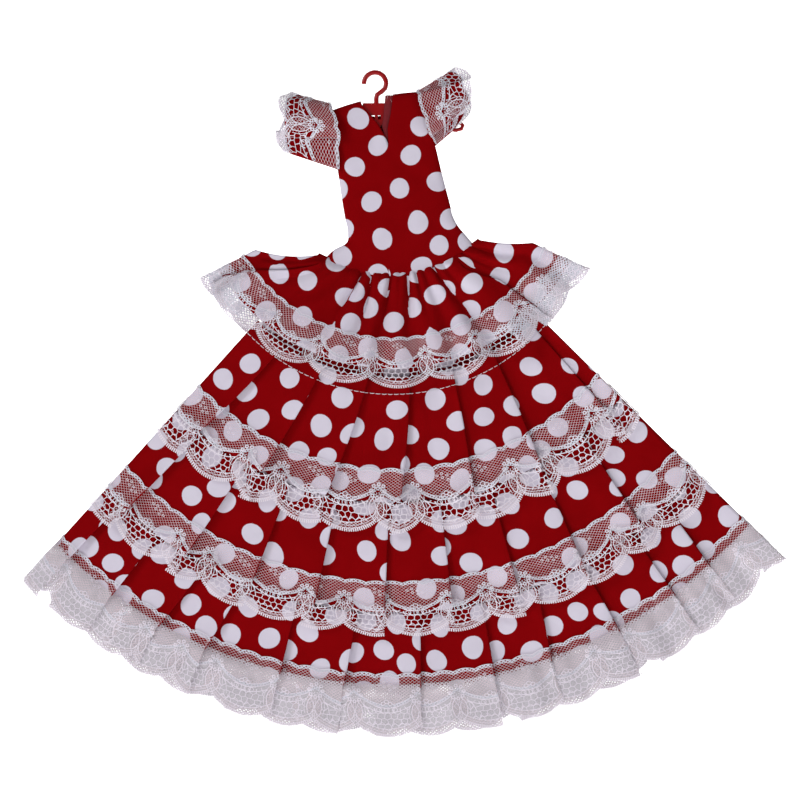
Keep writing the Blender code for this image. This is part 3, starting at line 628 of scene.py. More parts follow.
def peplum_ring(middle, side, lift, half):
    """Points of the peplum, or of lace lifted off it."""
    ridges = ridges_at(middle)
    left, right = ridges[0] - arc(lift, middle), ridges[-1] + arc(lift, middle)
    size = min(1.0, max(0.08, (middle - 55.0) / 14.0))
    tuck = arc(5.5 * size, middle)
    folds = [(float(np.interp(middle, radii, angles)), top) for radii, angles, top in PEPLUM_FOLDS[half]]
    angles, depths = [], []
    starts = [left] + [fold - (tuck if top == "left" else 0.0) for fold, top in folds]
    stops = [fold + (tuck if top == "right" else 0.0) for fold, top in folds] + [right]
    for number, (start, stop, count) in enumerate(zip(starts, stops, PEPLUM_COLUMNS)):
        part = np.linspace(start, stop, count)
        depth = peplum_height(part, middle, lift, half)
        for place, (fold, top) in enumerate(folds):
            away = np.abs(np.radians(part - fold) * middle)
            on_top = (top == "left") == (number <= place)
            if number in (place, place + 1):
                depth = depth + (0.9 if on_top else -1.1) * size * np.exp(-away / 11.0)
        if number == 0:
            rise = np.array([0.0, 0.25, 0.5, 0.75, 0.9])
            angles.extend([left] * 5)
            depths.extend(SEAM + (depth[0] - SEAM) * rise)
        angles.extend(part)
        depths.extend(depth)
        if number < len(folds):
            fold, top = folds[number]
            over = float(peplum_height(np.array([fold]), middle, lift, half)[0]) + 0.9 * size
            turns = [(0.5, 0.3), (0.0, 0.75), (-5.5, 1.0), (-6.0, 1.4)]
            if top == "right":
                turns = [(-away, drop) for away, drop in turns[::-1]]
            for away, drop in turns:
                angles.append(fold + arc(away * size, middle))
                depths.append(over - drop * size)
    fall = np.array([0.9, 0.75, 0.5, 0.25, 0.0])
    angles = np.array(angles + [right] * 5)
    depths = np.array(depths + list(SEAM + (depths[-1] - SEAM) * fall))
    share = np.clip((angles - left) / (right - left), 0.0, 1.0)
    radius = side + (middle - side) * 4 * share * (1 - share)
    return on_fan(angles, radius, depths, half)


def peplum_map(grid, half):
    """Places on the flat cloth: each ridge between two deep puckers or folds lies flat by itself."""
    x, z = grid[..., 0] - FAN["x"], FAN["z"] - grid[..., 2]
    angle, radius = np.degrees(np.arctan2(x, z)), np.hypot(x, z)
    lines = [(seam, end) for seam, end, deep, _ in PUCKERS[half] if deep >= 1.0]
    lines = sorted(lines + [angles[:2] for _, angles, _ in PEPLUM_FOLDS[half]])
    bounds = [GATHERS["hem"][0], *[end for _, end in lines], GATHERS["hem"][-1]]
    middles = [(a + b) / 2 for a, b in zip(bounds, bounds[1:])]
    flat = 0.0
    for number, middle in enumerate(middles):
        turned = np.radians(angle - middle)
        start = math.radians(middle) * PEPLUM["hem"][0]
        ridge = np.stack([radius * np.sin(turned) + start, -radius * np.cos(turned)], axis=-1)
        share = np.ones_like(radius)
        if number:
            seam, end = lines[number - 1]
            away = np.radians(angle - pucker_at(radius, seam, end)) * radius
            share = 0.5 + 0.5 * np.tanh(away / 0.3)
        flat = flat + (ridge - flat) * share[..., None]
    return flat + ((300.0 if half == "back" else -3.0), 12.0)


# Soft creases, given like the bodice's
PEPLUM_CREASES = {
    "front": (((-22, -103), (-50, -96), 2.4, 0.7), ((55, -96), (80, -104), 2.4, 0.6),
              ((-30, -118), (-58, -128), 3.0, 0.7),
              ((34, -118), (52, -134), 3.0, 0.7)),
    "back": (((-18, -104), (-44, -104), 2.4, 0.7), ((30, -108), (40, -122), 2.4, 0.7),
             ((44, -103), (64, -110), 2.4, 0.8)),
}
for side in ("front", "back"):
    rows = []
    for share in np.concatenate([[-0.035], np.linspace(0.0, 0.12, 6), np.linspace(0.16, 1.0, 22)]):
        middle, edge = (top + (low - top) * share for top, low in zip(PEPLUM["seam"], PEPLUM["hem"]))
        rows.append(peplum_ring(middle, edge, 0.0, side))
    grid = creased(np.array(rows), PEPLUM_CREASES[side], -1 if side == "front" else 1)
    peplum = cloth(f"peplum_{side}_cloth", [(grid, peplum_map(grid, side))], cotton)
    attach(peplum, "root")
    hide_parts(f"peplum_{side}")


# Sleeve frills: a gathered strip of the print sewn round each armhole, standing out over the
# shoulder and folded on itself in front. All of it lies under lace, and no dots show through.
# Each frill's line at the armhole and at its edge, and how far it stands out, fold by fold
FRILLS = {
    "left": {
        "inner_x": (-21.9, -21.8, -21.6, -21.6, -21.6, -21.6, -21.4, -21.4, -21.4, -22.6, -25.2, -25.8, -25.8,
                    -24.0, -22.4, -21.9),
        "inner_z": (-51.5, -45.0, -38.6, -32.0, -31.2, -32.0, -34.2, -35.0, -34.2, -27.0, -18.6, -16.2, -16.2,
                    -24.0, -38.0, -51.0),
        "outer_x": (-49.6, -50.8, -51.5, -51.5, -51.6, -51.5, -51.7, -51.8, -51.7, -51.8, -50.5, -46.0, -45.0,
                    -49.5, -51.0, -49.0),
        "outer_z": (-42.2, -39.8, -37.4, -31.6, -30.8, -31.6, -33.6, -34.4, -33.6, -24.0, -14.0, -11.2, -11.0,
                    -17.0, -33.0, -42.0),
        "depth": (-4.2, -4.6, -4.5, -4.5, -5.15, -5.8, -5.9, -6.55, -7.2, -7.6, -5.6, -2.6, 1.0, 4.2, 5.0,
                  4.4)},
    "right": {
        "inner_x": (34.2, 32.8, 29.6, 29.4, 29.6, 31.0, 31.2, 31.0, 28.4, 25.2, 24.8, 24.8, 24.6, 24.6, 25.0,
                    26.2, 29.4, 33.6),
        "inner_z": (-38.2, -36.2, -30.2, -29.4, -30.2, -32.6, -33.4, -32.6, -23.0, -12.6, -10.9, -10.3, -9.0,
                    -8.2, -9.6, -14.0, -26.0, -38.0),
        "outer_x": (42.0, 44.2, 44.6, 44.6, 44.8, 45.6, 45.9, 45.6, 54.0, 50.6, 49.8, 50.6, 47.8, 43.6, 45.4,
                    49.0, 51.0, 43.0),
        "outer_z": (-31.2, -26.6, -19.6, -18.8, -19.6, -21.8, -22.5, -21.8, -15.2, -6.6, -4.8, -3.0, 1.0, 2.6,
                    0.4, -5.6, -19.0, -30.0),
        "depth": (-4.2, -4.4, -4.4, -5.05, -5.7, -5.8, -6.45, -7.1, -7.8, -7.0, -6.2, -4.6, -2.4, 0.2, 2.8,
                  4.4, 5.0, 4.4)},
}


# The same cotton without its dots
plain_cotton = printed_cotton("plain red cotton poplin", ())


def faced(grid):
    """The direction that each point of a grid faces."""
    normals = np.cross(np.gradient(grid, axis=1), np.gradient(grid, axis=0))
    return normals / np.maximum(np.linalg.norm(normals, axis=2, keepdims=True), 1e-9)


def frill_grid(name, lift, shares, out):
    """Points of a sleeve frill or of the lace on it: rows from the armhole outwards."""
    table = FRILLS[name]
    knots = np.arange(len(table["depth"]), dtype=float)
    wanted = np.linspace(0.0, knots[-1], 6 * (len(knots) - 1) + 1)
    line = {key: smooth(values, knots, wanted) for key, values in table.items()}
    inner = np.stack([line["inner_x"], line["depth"], line["inner_z"]], axis=-1)
    outer = np.stack([line["outer_x"], line["depth"], line["outer_z"]], axis=-1)
    grid = inner[None] + (outer - inner)[None] * np.asarray(shares)[:, None, None]
    ruffle = 1.3 * np.sin(wanted * 2.1 + (1.0 if name == "left" else 2.4))
    ruffle = ruffle * np.clip(np.asarray(shares), 0, 1)[:, None] ** 1.5
    return grid + faced(grid) * (lift * out + ruffle[..., None] * 0.6)


for name, turn in (("left", 1.0), ("right", -1.0)):
    grid = frill_grid(name, 0.0, np.linspace(-0.07, 0.91, 14), turn)
    along = run_along(grid, 0)
    flat = np.stack([along + 105.0, 9.0 + np.linspace(0.0, -29.0, 14)[:, None] + 0 * along], axis=-1)
    frill = cloth(f"sleeve_{name}_cloth", [(grid, flat)], plain_cotton, wall=0.3)
    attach(frill, "root")
    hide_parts(f"sleeve_{name}")


# Lace: one nylon trim on every edge, machine knitted. A fine net hangs from a corded edge
# with small scallops; flowers stand over its notches, a barred swag with a crown between
# them, then an open mesh and a close border with picots on deep scallops.
REPEAT = 35.0        # the length of one repeat
NOTCH = 28.4         # how deep the trim is at the notches
DROP = 7.4           # how far the scallops reach past the notches
GROUND_DEEP = 37.0   # how far down a ground has to reach to carry them


def swag(x):
    """The upper line of the swag, down from the trim's top."""
    return 9.5 + 8.0 * np.abs(np.sin(np.pi * x / REPEAT)) ** 0.8


def rim(x):
    """The scalloped lower line of the trim."""
    return NOTCH + DROP * np.abs(np.sin(np.pi * x / REPEAT)) ** 0.7


def corded_top(x):
    """The small scallops of its corded upper edge."""
    return 1.4 - 1.4 * np.abs(np.sin(3 * np.pi * x / REPEAT)) ** 0.8


def lace_chart():
    """One repeat of the trim's heavier threads: lines in mm, half width and height."""
    rng = np.random.default_rng(11)
    lines = []

    def draw(points, half, height=0.16):
        lines.append((np.array(points, float), half * 0.62, height * 0.55))

    def curve(function, first, last, steps, drop=0.0):
        x = np.linspace(first, last, steps)
        return np.stack([x, function(x) + drop], axis=-1)

    def ring(x, y, across, down, steps=9):
        turn = np.linspace(0, 2 * np.pi, steps)
        return np.stack([x + across * np.cos(turn), y + down * np.sin(turn)], axis=-1)

    # Corded top edge with its small scallops, and the short bars between its cords
    draw(curve(corded_top, 0.0, REPEAT, 37), 0.26, 0.26)
    draw(curve(corded_top, 0.0, REPEAT, 37, 1.7), 0.2, 0.2)
    # Swag: two lines with bars between, broken by the crown
    for first, last in ((3.2, 14.2), (20.8, 31.8)):
        draw(curve(swag, first, last, 10), 0.26, 0.26)
        draw(curve(swag, first, last, 10, 1.7), 0.24, 0.22)
        for x in np.linspace(first + 0.8, last - 0.8, 7):
            draw([(x, swag(x)), (x + 0.3, swag(x) + 1.7)], 0.2, 0.14)
    for x, y, size in ((15.6, 16.9, 1.15), (17.5, 15.9, 1.3), (19.4, 16.9, 1.15)):
        draw(ring(x, y, size, size * 0.85), 0.42, 0.3)
    draw(curve(swag, 11.0, 24.0, 9, 1.9), 0.42, 0.26)
    draw([(16.3, 19.3), (18.7, 19.3), (18.8, 21.7), (16.2, 21.7), (16.3, 19.3)], 0.34, 0.22)
    for x in (13.2, 21.8):
        draw(ring(x, 20.3, 1.45, 1.15), 0.34, 0.22)
    draw(curve(swag, 4.6, 30.4, 16, 4.6), 0.4, 0.24)
    # Flower over the notch: petals round an open middle with a few knots in it
    for turn in np.radians(np.arange(0, 360, 45)):
        draw(ring(3.7 * math.sin(turn), 12.6 - 3.7 * math.cos(turn), 0.85, 0.85, 7), 0.55, 0.32)
    draw(ring(0.0, 12.6, 2.5, 2.5), 0.24, 0.2)
    for turn in np.radians(np.arange(22, 382, 60)):
        knot = [(far * math.sin(turn), 12.6 - far * math.cos(turn)) for far in (1.1, 1.6, 2.5)]
        draw(knot[:2], 0.45, 0.3)
        draw(knot[1:], 0.16, 0.14)
    # Eyelets in the net, in a lozenge between two flowers
    for x, y in ((13.8, 6.2), (16.4, 5.2), (16.6, 7.6), (19.2, 6.6), (19.6, 9.0), (22.0, 8.0)):
        draw(ring(x, y, 0.75, 0.6, 7), 0.26, 0.2)
    # Crossed threads and the curved cords that frame them, from the flower to the notch
    for side in (-1, 1):
        for points, half, height in (
                (((2.4, 16.4), (0.4, 20.8), (-1.9, 26.6)), 0.34, 0.26),
                (((1.3, 15.6), (3.5, 18.6), (4.2, 22.0), (3.4, 25.8), (1.0, 28.6)), 0.42, 0.28),
                (((3.2, 15.4), (5.2, 18.9), (5.7, 22.4), (4.9, 26.4)), 0.26, 0.2),
                (((1.6, 19.0), (3.0, 20.2), (1.8, 22.4)), 0.22, 0.18),
                (((0.5, 16.0), (0.5, 28.0)), 0.22, 0.2)):
            draw([(side * x, y) for x, y in points], half, height)
    # Open mesh under the swag, of slightly uneven six sided holes
    size = 2.05
    step_x, step_y = size * math.sqrt(3), size * 1.5
    turns = [math.radians(60 * k + 30) for k in range(6)]
    holes = []
    for row in range(-1, 7):
        for column in range(-1, 11):
            x, y = column * step_x + (row % 2) * step_x / 2, 17.6 + row * step_y
            holes.append([(round(x + size * math.cos(turn), 1), round(y + size * math.sin(turn), 1))
                          for turn in turns])
    corners = {}
    for keys in holes:
        for x, y in keys:
            corners.setdefault((x, y), (x + rng.normal(0, 0.33), y + rng.normal(0, 0.33)))
    drawn = set()
    for keys in holes:
        for a, b in zip(keys, keys[1:] + keys[:1]):
            if frozenset((a, b)) in drawn:
                continue
            drawn.add(frozenset((a, b)))
            if any(5.0 < x < 30.0 and swag(x) + 4.2 < y < rim(x) - 4.4 for x, y in (a, b)):
                draw([corners[a], corners[b]], 0.26 + 0.1 * rng.random(), 0.16)
    # Close border: two cords along the scallop, and white picots outside it
    draw(curve(rim, 0.0, REPEAT, 29, -4.7), 0.32, 0.24)
    draw(curve(rim, 0.0, REPEAT, 29, -3.0), 0.2, 0.18)
    draw(curve(rim, 0.0, REPEAT, 29, -1.6), 0.3, 0.26)
    edge = curve(rim, 0.0, REPEAT, 141)
    run = np.concatenate([[0.0], np.cumsum(np.linalg.norm(np.diff(edge, axis=0), axis=1))])
    for place in np.arange(0.6, run[-1], 1.25):
        at, ahead = (np.array([np.interp(far, run, edge[:, 0]), np.interp(far, run, edge[:, 1])])
                     for far in (place, place + 0.2))
        out = np.array([-(ahead - at)[1], (ahead - at)[0]])
        out /= max(np.linalg.norm(out), 1e-9)
        draw([at - out * 1.35, at - out * 0.5, at + out * 0.35], 0.55, 0.36)
    return lines


CHART = lace_chart()

NET = 1.6           # the real net's holes are 0.7 mm; drawn coarser so that they show


def nylon(name, code, net_width=None):
    """White nylon thread, or a net of it whose threads are net_width of a hole wide."""
    material, tree = new_material(name)
    inputs = {"Base Color": linear(code), "Roughness": 0.5, "Sheen Weight": 0.2}
    flat = node(tree, "ShaderNodeUVMap", uv_map="cloth")
    if net_width:
        ways = []
        for slant in (1.0, -1.0):
            line = node(tree, "ShaderNodeVectorMath", {
                0: flat, 1: (0.7 / (NET * MM), slant / (NET * MM), 0.0)}, operation="DOT_PRODUCT")
            ways.append(node(tree, "ShaderNodeMath", {
                0: line.outputs["Value"], 1: 0.5}, operation="PINGPONG"))
        near = node(tree, "ShaderNodeMath", {0: ways[0], 1: ways[1]}, operation="MINIMUM")
        patchy = node(tree, "ShaderNodeTexNoise", {"Vector": flat, "Scale": 130.0, "Detail": 1.0})
        width = node(tree, "ShaderNodeMapRange", {
            "Value": patchy, "From Min": 0.35, "From Max": 0.65,
            "To Min": net_width * 0.4, "To Max": net_width * 0.6})
        edge = node(tree, "ShaderNodeMath", {0: near, 1: width}, operation="SUBTRACT")
        inputs["Alpha"] = node(tree, "ShaderNodeMapRange", {
            "Value": edge, "From Min": -0.02, "From Max": 0.02, "To Min": 1.0, "To Max": 0.0})
    else:
        twist = node(tree, "ShaderNodeTexNoise", {"Vector": flat, "Scale": 2600.0, "Detail": 1.0})
        inputs["Normal"] = node(tree, "ShaderNodeBump", {
            "Height": twist, "Strength": 0.4, "Distance": 0.0001})
    surface(tree, inputs)
    return material


# Nylon lace thread is white and faintly shiny. The thread and the fine and close nets are tinted pink with
# painted red light, which stands for light from the red cloth coming through the nylon.
# The net's holes let the red through. Where the hem's fullness lies in layers it closes up, and the gathered
# and doubled nets are greyed with painted shade between the layers.
LACE_FINISH = [nylon("nylon lace thread with painted red light", "#EBE3EE"), nylon("fine nylon net with painted red light", "#F8E2EA", 0.1),
               nylon("close nylon net with painted red light", "#EEDDE5", 0.13), nylon("gathered nylon net with painted shade", "#CDC7CF", 0.6),
               nylon("doubled nylon net with painted shade", "#D8D6E2", 0.45)]


def lay(ground, flat, lift):
    """Points on a ground, at places on the flat trim, lifted off its face."""
    counts = [len(ground[key]) for key in "uv"]
    across, down = (np.clip(np.interp(flat[:, way], ground[key], np.arange(count)), 0, count - 1.001)
                    for way, (key, count) in enumerate(zip("uv", counts)))
    i, j = across.astype(int), down.astype(int)
    s, t = (across - i)[:, None], (down - j)[:, None]

    def mixed(grid):
        return ((1 - t) * ((1 - s) * grid[j, i] + s * grid[j, i + 1])
                + t * ((1 - s) * grid[j + 1, i] + s * grid[j + 1, i + 1]))

    normal = mixed(ground["normals"])
    normal /= np.maximum(np.linalg.norm(normal, axis=1, keepdims=True), 1e-9)
    return mixed(ground["points"]) + normal * lift


def ground_of(u, v, points, side, keep=None, full=()):
    """A surface that the trim is laid on: lengths along it and down it, in mm."""
    return {"u": np.asarray(u), "v": np.asarray(v), "points": points, "normals": faced(points) * side,
            "side": side, "full": full, "keep": keep or (lambda flat: np.ones(len(flat), bool))}


def lace(name, grounds, fit, nodes):
    """The trim laid on its grounds: net, close net and threads, joined as one piece."""
    points, faces, flats, slots = [], [], [], []
    count = 0

    def add(ground, flat, lift, quads, slot):
        nonlocal count
        if not len(quads):
            return
        points.append(lay(ground, flat, lift))
        flats.append(flat)
        quads = quads + count
        faces.append(quads if ground["side"] < 0 else quads[:, ::-1])
        slots.append(np.full(len(quads), slot))
        count += len(flat)

    def fill(ground, first, last, upper, lower, rows, slot, lift=0.0):
        columns = max(2, int((last - first) / 1.45) + 1)
        x = np.linspace(first, last, columns)
        share = np.linspace(0.0, 1.0, rows)[:, None]
        y = (upper(x) + (lower(x) - upper(x)) * share) * fit
        flat = np.stack([np.broadcast_to(x, y.shape), y], axis=-1).reshape(-1, 2)
        quads = quads_of(rows, columns)
        kept = ground["keep"](flat[quads].mean(axis=1))
        add(ground, flat, lift, quads[kept], slot)

    for ground in grounds:
        first, last = ground["u"][0], ground["u"][-1]
        # Nets: a second layer where the trim is full, the fine net, the cords' edges, the close border; the
        # second layer and the cords' edges are in the greyed nets, whose grey is painted shade
        for start, end, upper, slot in ground["full"]:
            fill(ground, start, end, lambda x: np.minimum(upper, rim(x) - 0.5), lambda x: rim(x) - 0.2, 14,
                 slot, lift=-0.3)
        fill(ground, first, last, corded_top, swag, 8, 1)
        fill(ground, first, last, lambda x: corded_top(x) + 0.1, lambda x: corded_top(x) + 1.7, 2, 4,
             lift=0.03)
        fill(ground, first, last, swag, lambda x: swag(x) + 1.9, 3, 4, lift=0.03)
        fill(ground, first, last, lambda x: rim(x) - 4.9, rim, 4, 2)
        for number in range(int(first // REPEAT) - 1, int(last // REPEAT) + 2):
            start = number * REPEAT
            low, high = max(first, start - 4.3), min(last, start + 4.3)
            if high - low > 1.0:
                fill(ground, low, high, lambda x: 15.6 + 0 * x, lambda x: rim(x) - 4.9, 8, 1)
            # Threads: each a low ridge of three lines of points
            for line, half, height in CHART:
                if line[:, 0].max() + start < first or line[:, 0].min() + start > last:
                    continue
                flat = line + (start, 0.0)
                kept = ground["keep"](flat * (1.0, fit)) & (flat[:, 0] >= first) & (flat[:, 0] <= last)
                if kept.sum() < 2:
                    continue
                way = np.gradient(flat, axis=0)
                way /= np.maximum(np.linalg.norm(way, axis=1, keepdims=True), 1e-9)
                off = np.stack([-way[:, 1], way[:, 0]], axis=1) * half
                three = np.concatenate([flat + off, flat, flat - off]) * (1.0, fit)
                n = len(flat)
                lift = np.concatenate([np.full(n, 0.04), np.full(n, height), np.full(n, 0.04)])[:, None]
                a = np.arange(n - 1)[kept[:-1] & kept[1:]]
                quads = np.concatenate([np.stack([a + n, a, a + 1, a + n + 1], axis=1),
                                        np.stack([a + 2 * n, a + n, a + n + 1, a + 2 * n + 1], axis=1)])
                add(ground, three, lift, quads, 0)
    places = np.concatenate(flats) * (MM, -MM)
    mesh = mesh_of(name, np.concatenate(points) * MM, np.concatenate(faces), places, np.concatenate(slots),
                   LACE_FINISH)
    bm = bmesh.new()
    bm.from_mesh(mesh)
    loose = [v for v in bm.verts if not v.link_faces]
    bmesh.ops.delete(bm, geom=loose, context="VERTS")
    bm.to_mesh(mesh)
    bm.free()
    piece = put(name, mesh)
    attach(piece, "root")
    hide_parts(*nodes)


# Lace bands on the tiers: sewn over each lower edge and folded with its pleats at the top,
# then free to stand off and wave at the scallops. The lowest hangs clear below the hem.
# Radii, at the fan's middle and sides, of each band's top and notches; where it stops being
# held to the cloth; and how far its free edge runs on under the pleat on its left
BANDS = {
    "lace_upper": {"tier": "tier_upper", "top": (161.3, 156.4), "held": 175.0, "notch": (189.7, 185.0),
                   "under": 6.0},
    "lace_middle": {"tier": "tier_middle", "top": (222.9, 215.3), "held": 235.0, "notch": (246.5, 240.0),
                    "under": 6.0},
    "lace_hem": {"tier": "tier_lower", "top": (273.0, 267.0), "held": 279.5, "notch": (300.5, 293.5),
                 "under": 26.0},
}


def fit_of(band):
    """How deep a band is against the full trim."""
    return (band["notch"][0] - band["top"][0]) / NOTCH


def band_ground(name, number, side, half, place, phase):
    """The surface of one pleat's lace, from under the pleat on its left to round its own fold."""
    band = BANDS[name]
    tier = TIERS[band["tier"]]
    fit = fit_of(band)
    height = tier["bottom"][0] - tier["top"][0]
    first, last = number == 0, number == len(tier["folds_top"])
    rings = []
    for y in np.linspace(-0.5, GROUND_DEEP, 19):
        middle = band["top"][0] + y * fit
        share = (middle - tier["top"][0]) / height
        folds = folds_at(tier, share)
        panel = panels_at(folds, middle)[number]
        edge = folds[number - 1] if number else FAN["left"]
        rings.append((y, middle, min(share, 1.0), panel, math.radians(panel["crest"] - edge) * middle))
    widest = max(ring[-1] for ring in rings)
    # Lengths from the fold: negative round it, positive across the pleat and under the one on its left
    over, wrap = 9.5 if first else band["under"] + 0.5, 9.5 if last else 3.2
    aways = np.concatenate([-np.linspace(wrap, 1.8, 6), [-1.4, -1.0, -0.7, -0.4, 0.0],
                            np.linspace(1.0, widest + over, 36)])
    rows, limits, wraps = [], [], []
    for y, middle, share, panel, width in rings:
        # Held to the pleat at the top, the lace comes free and waves below
        free = float(np.clip((middle - band["held"] + 5.0) / 9.0, 0.0, 1.0))
        free = free * free * (3 - 2 * free)
        across = np.clip(aways / width, 0.0, 1.0)
        front, back = np.maximum(aways, 0.0), np.maximum(-aways, 0.0)
        angle = panel["crest"] - arc(front, middle)
        held = pleat_depth(panel, number, angle, middle, share, tier[side]) + 0.75
        wave = (0.6 * np.sin(2 * np.pi * across * 1.15 + phase)
                + 0.35 * np.sin(2 * np.pi * across * 2.6 + 2.3 * phase))
        loose = FOLD_DEPTH + 1.5 + 1.6 * (1 - across) ** 1.5 + wave
        depth = held + (loose - held) * free
        beyond = np.maximum(aways - width, 0.0)
        # At a side edge it turns straight back; elsewhere it goes round the fold, or under it
        if last:
            angle = angle + arc(np.minimum(back, 1.1), middle)
            depth = depth - np.maximum(back - 0.8, 0.0)
        else:
            turned = np.minimum(back / 1.6, 1.0)
            tucked = np.maximum(back - 1.6, 0.0)
            angle = angle + arc(0.9 * np.sin(np.pi * turned), middle) - arc(tucked, middle)
            depth = depth - 0.5 * (1 - np.cos(np.pi * turned)) - panel["slope"] * tucked
        if first:
            angle = np.maximum(angle, FAN["left"]) - arc(np.minimum(beyond, 1.1), middle)
            depth = depth - np.maximum(beyond - 0.8, 0.0)
        else:
            depth = depth - 0.9 * free * np.minimum(beyond / 3.0, 1.0)
        depth = np.maximum(depth, SEAM)
        radius = bowed(middle, band["top"][1] + y * (band["notch"][1] - band["top"][1]) / NOTCH, angle)
        rows.append(on_fan(angle, radius, depth, half)[::-1])
        # Under the pleat on its left it stops at the skirt's side edge
        room = math.radians(panel["crest"] - FAN["left"]) * middle
        limits.append(width + 8.6 if first else min(width + 2.2 + (band["under"] - 2.2) * free, room))
        wraps.append(8.4 if last else 3.0 - 2.2 * free)
    lengths = np.array([ring[0] for ring in rings]) * fit

    def keep(flat):
        away = place - flat[:, 0]
        return ((away <= np.interp(flat[:, 1], lengths, limits))
                & (away >= -np.interp(flat[:, 1], lengths, wraps)))

    full = []
    if name == "lace_hem":
        full.append((place - widest - (0.0 if first else band["under"]), place, 6.2, 3))
        if first or last:
            start = place if last else place - widest - 8.0
            full.append((start, start + 8.0, 0.5, 3))
    return ground_of((place - aways)[::-1], lengths, np.array(rows), -1.0, keep, full)


for order, (name, band) in enumerate(BANDS.items()):
    tier = TIERS[band["tier"]]
    fit = fit_of(band)
    for side, half, shift in SKIRT_HALVES:
        places = strip_places(folds_at(tier, 1.0), band["notch"][0], 9.0)
        grounds = [band_ground(name, number, side, half, place + shift * 1.3, 1.9 * number + order)
                   for number, place in enumerate(places)]
        lace(f"{name}_{side}_trim", grounds, fit, [f"{name}_{side}"])


# Lace on the peplum: the same trim sewn over its gathered lower edge, folded over with it
PEPLUM_TRIM = 22.0 / NOTCH
for side, sign in (("front", -1.0), ("back", 1.0)):
    fit = PEPLUM_TRIM
    downs = np.linspace(-0.5, GROUND_DEEP, 18)
    rows = [peplum_ring(90.0 + y * fit, 92.0 + y * fit, 0.8 + 0.5 * max(0.0, y - 20) / 17, side)
            for y in downs]
    grid = creased(np.array(rows), PEPLUM_CREASES[side], -1 if side == "front" else 1)
    along = run_along(grid)[12] * 1.02 + (0.0 if side == "front" else 900.0)
    # Three stretches: before, between and after the two folds
    first, second = 5 + PEPLUM_COLUMNS[0], 9 + sum(PEPLUM_COLUMNS[:2])
    stretches = [slice(0, first), slice(first, second + 3), slice(second + 4, None)]
    over = [along[first], along[second + 2]]
    # Where it is fullest, near the folds, it lies double
    fulls = [[(along[0], over[0], 12.0, 4)],
             [(over[0], over[0] + 24.0, 17.0, 4), (over[1] - 28.0, over[1], 17.0, 4)],
             [(along[second + 4], along[-1], 12.0, 4)]]
    grounds = [ground_of(along[part], downs * fit, grid[:, part], sign, full=full)
               for part, full in zip(stretches, fulls)]
    lace(f"peplum_{side}_trim", grounds, fit, [f"peplum_lace_{side}"])


# Lace on the sleeve frills: the same trim, as wide as the frill, with its scallops outwards
for name, turn in (("left", 1.0), ("right", -1.0)):
    downs = np.linspace(0.0, GROUND_DEEP, 16)
    fit = 0.9
    grid = frill_grid(name, 0.75, downs / (NOTCH + DROP) * 1.18 - 0.09, turn)
    along = run_along(grid)[11]
    ground = ground_of(along + 6.0, downs * fit, grid, turn, lambda flat: flat[:, 1] > 0.1,
                       [(6.0, along[-1] + 6.0, 29.5, 4)])
    lace(f"sleeve_{name}_trim", [ground], fit, [f"sleeve_{name}_lace"])


# Topstitching: a row of white machine stitches round the top of the upper tier, where it is
# sewn to the yoke. Each stitch is a short round length of thread that dips at its ends.
# Sizes in mm, and the radius of the row at the fan's middle
STITCH = {"pitch": 3.3, "length": 2.5, "thick": 0.42, "radius": 121.0}


def stitch_tree(material):
    """Stitches along a path, with their pitch, length and thickness as inputs."""
    tree = bpy.data.node_groups.new("stitches", "GeometryNodeTree")
    tree.interface.new_socket("Geometry", in_out="INPUT", socket_type="NodeSocketGeometry")
    for name in ("Pitch", "Length", "Thickness"):
        tree.interface.new_socket(name, in_out="INPUT", socket_type="NodeSocketFloat")
    tree.interface.new_socket("Geometry", in_out="OUTPUT", socket_type="NodeSocketGeometry")
    given = node(tree, "NodeGroupInput")
    spaced = node(tree, "GeometryNodeResampleCurve", {
        "Curve": given.outputs["Geometry"], "Length": given.outputs["Pitch"]}, mode="LENGTH")
    half = node(tree, "ShaderNodeMath", {0: given.outputs["Length"], 1: 0.5}, operation="MULTIPLY")
    minus = node(tree, "ShaderNodeMath", {0: half, 1: -1.0}, operation="MULTIPLY")
    rise = node(tree, "ShaderNodeMath", {0: given.outputs["Thickness"], 1: 0.9}, operation="MULTIPLY")
    start = node(tree, "ShaderNodeCombineXYZ", {"Z": minus})
    end = node(tree, "ShaderNodeCombineXYZ", {"Z": half})
    middle = node(tree, "ShaderNodeCombineXYZ", {"X": rise})
    dash = node(tree, "GeometryNodeCurveQuadraticBezier", {
        "Resolution": 6, "Start": start, "Middle": middle, "End": end})
    across = node(tree, "ShaderNodeMath", {0: given.outputs["Thickness"], 1: 0.5}, operation="MULTIPLY")
    circle = node(tree, "GeometryNodeCurvePrimitiveCircle", {"Resolution": 8, "Radius": across})
    thread = node(tree, "GeometryNodeCurveToMesh", {
        "Curve": dash, "Profile Curve": circle, "Fill Caps": True})
    along = node(tree, "GeometryNodeInputTangent")
    turned = node(tree, "FunctionNodeAlignRotationToVector", {"Vector": along}, axis="Z")
    placed = node(tree, "GeometryNodeInstanceOnPoints", {
        "Points": spaced, "Instance": thread, "Rotation": turned})
    real = node(tree, "GeometryNodeRealizeInstances", {0: placed})
    finish = node(tree, "GeometryNodeSetMaterial", {0: real, "Material": material})
    node(tree, "NodeGroupOutput", {0: finish})
    return tree


def stitch_row(name, points, stitches):
    """A row of stitches along points in mm, made a plain mesh."""
    route = bpy.data.curves.new(name + "_route", "CURVE")
    route.dimensions = "3D"
    spline = route.splines.new("POLY")
    spline.points.add(len(points) - 1)
    for place, point in zip(spline.points, points):
        place.co = (*(point * MM), 1.0)
    path = put(name + "_route", route)
    modifier = path.modifiers.new("Stitches", "NODES")
    modifier.node_group = stitches
    sizes = {"Pitch": STITCH["pitch"], "Length": STITCH["length"], "Thickness": STITCH["thick"]}
    for item in stitches.interface.items_tree:
        if item.in_out == "INPUT" and item.name in sizes:
            modifier[item.identifier] = sizes[item.name] * MM
    row = as_mesh(name, path)
    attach(row, "root")


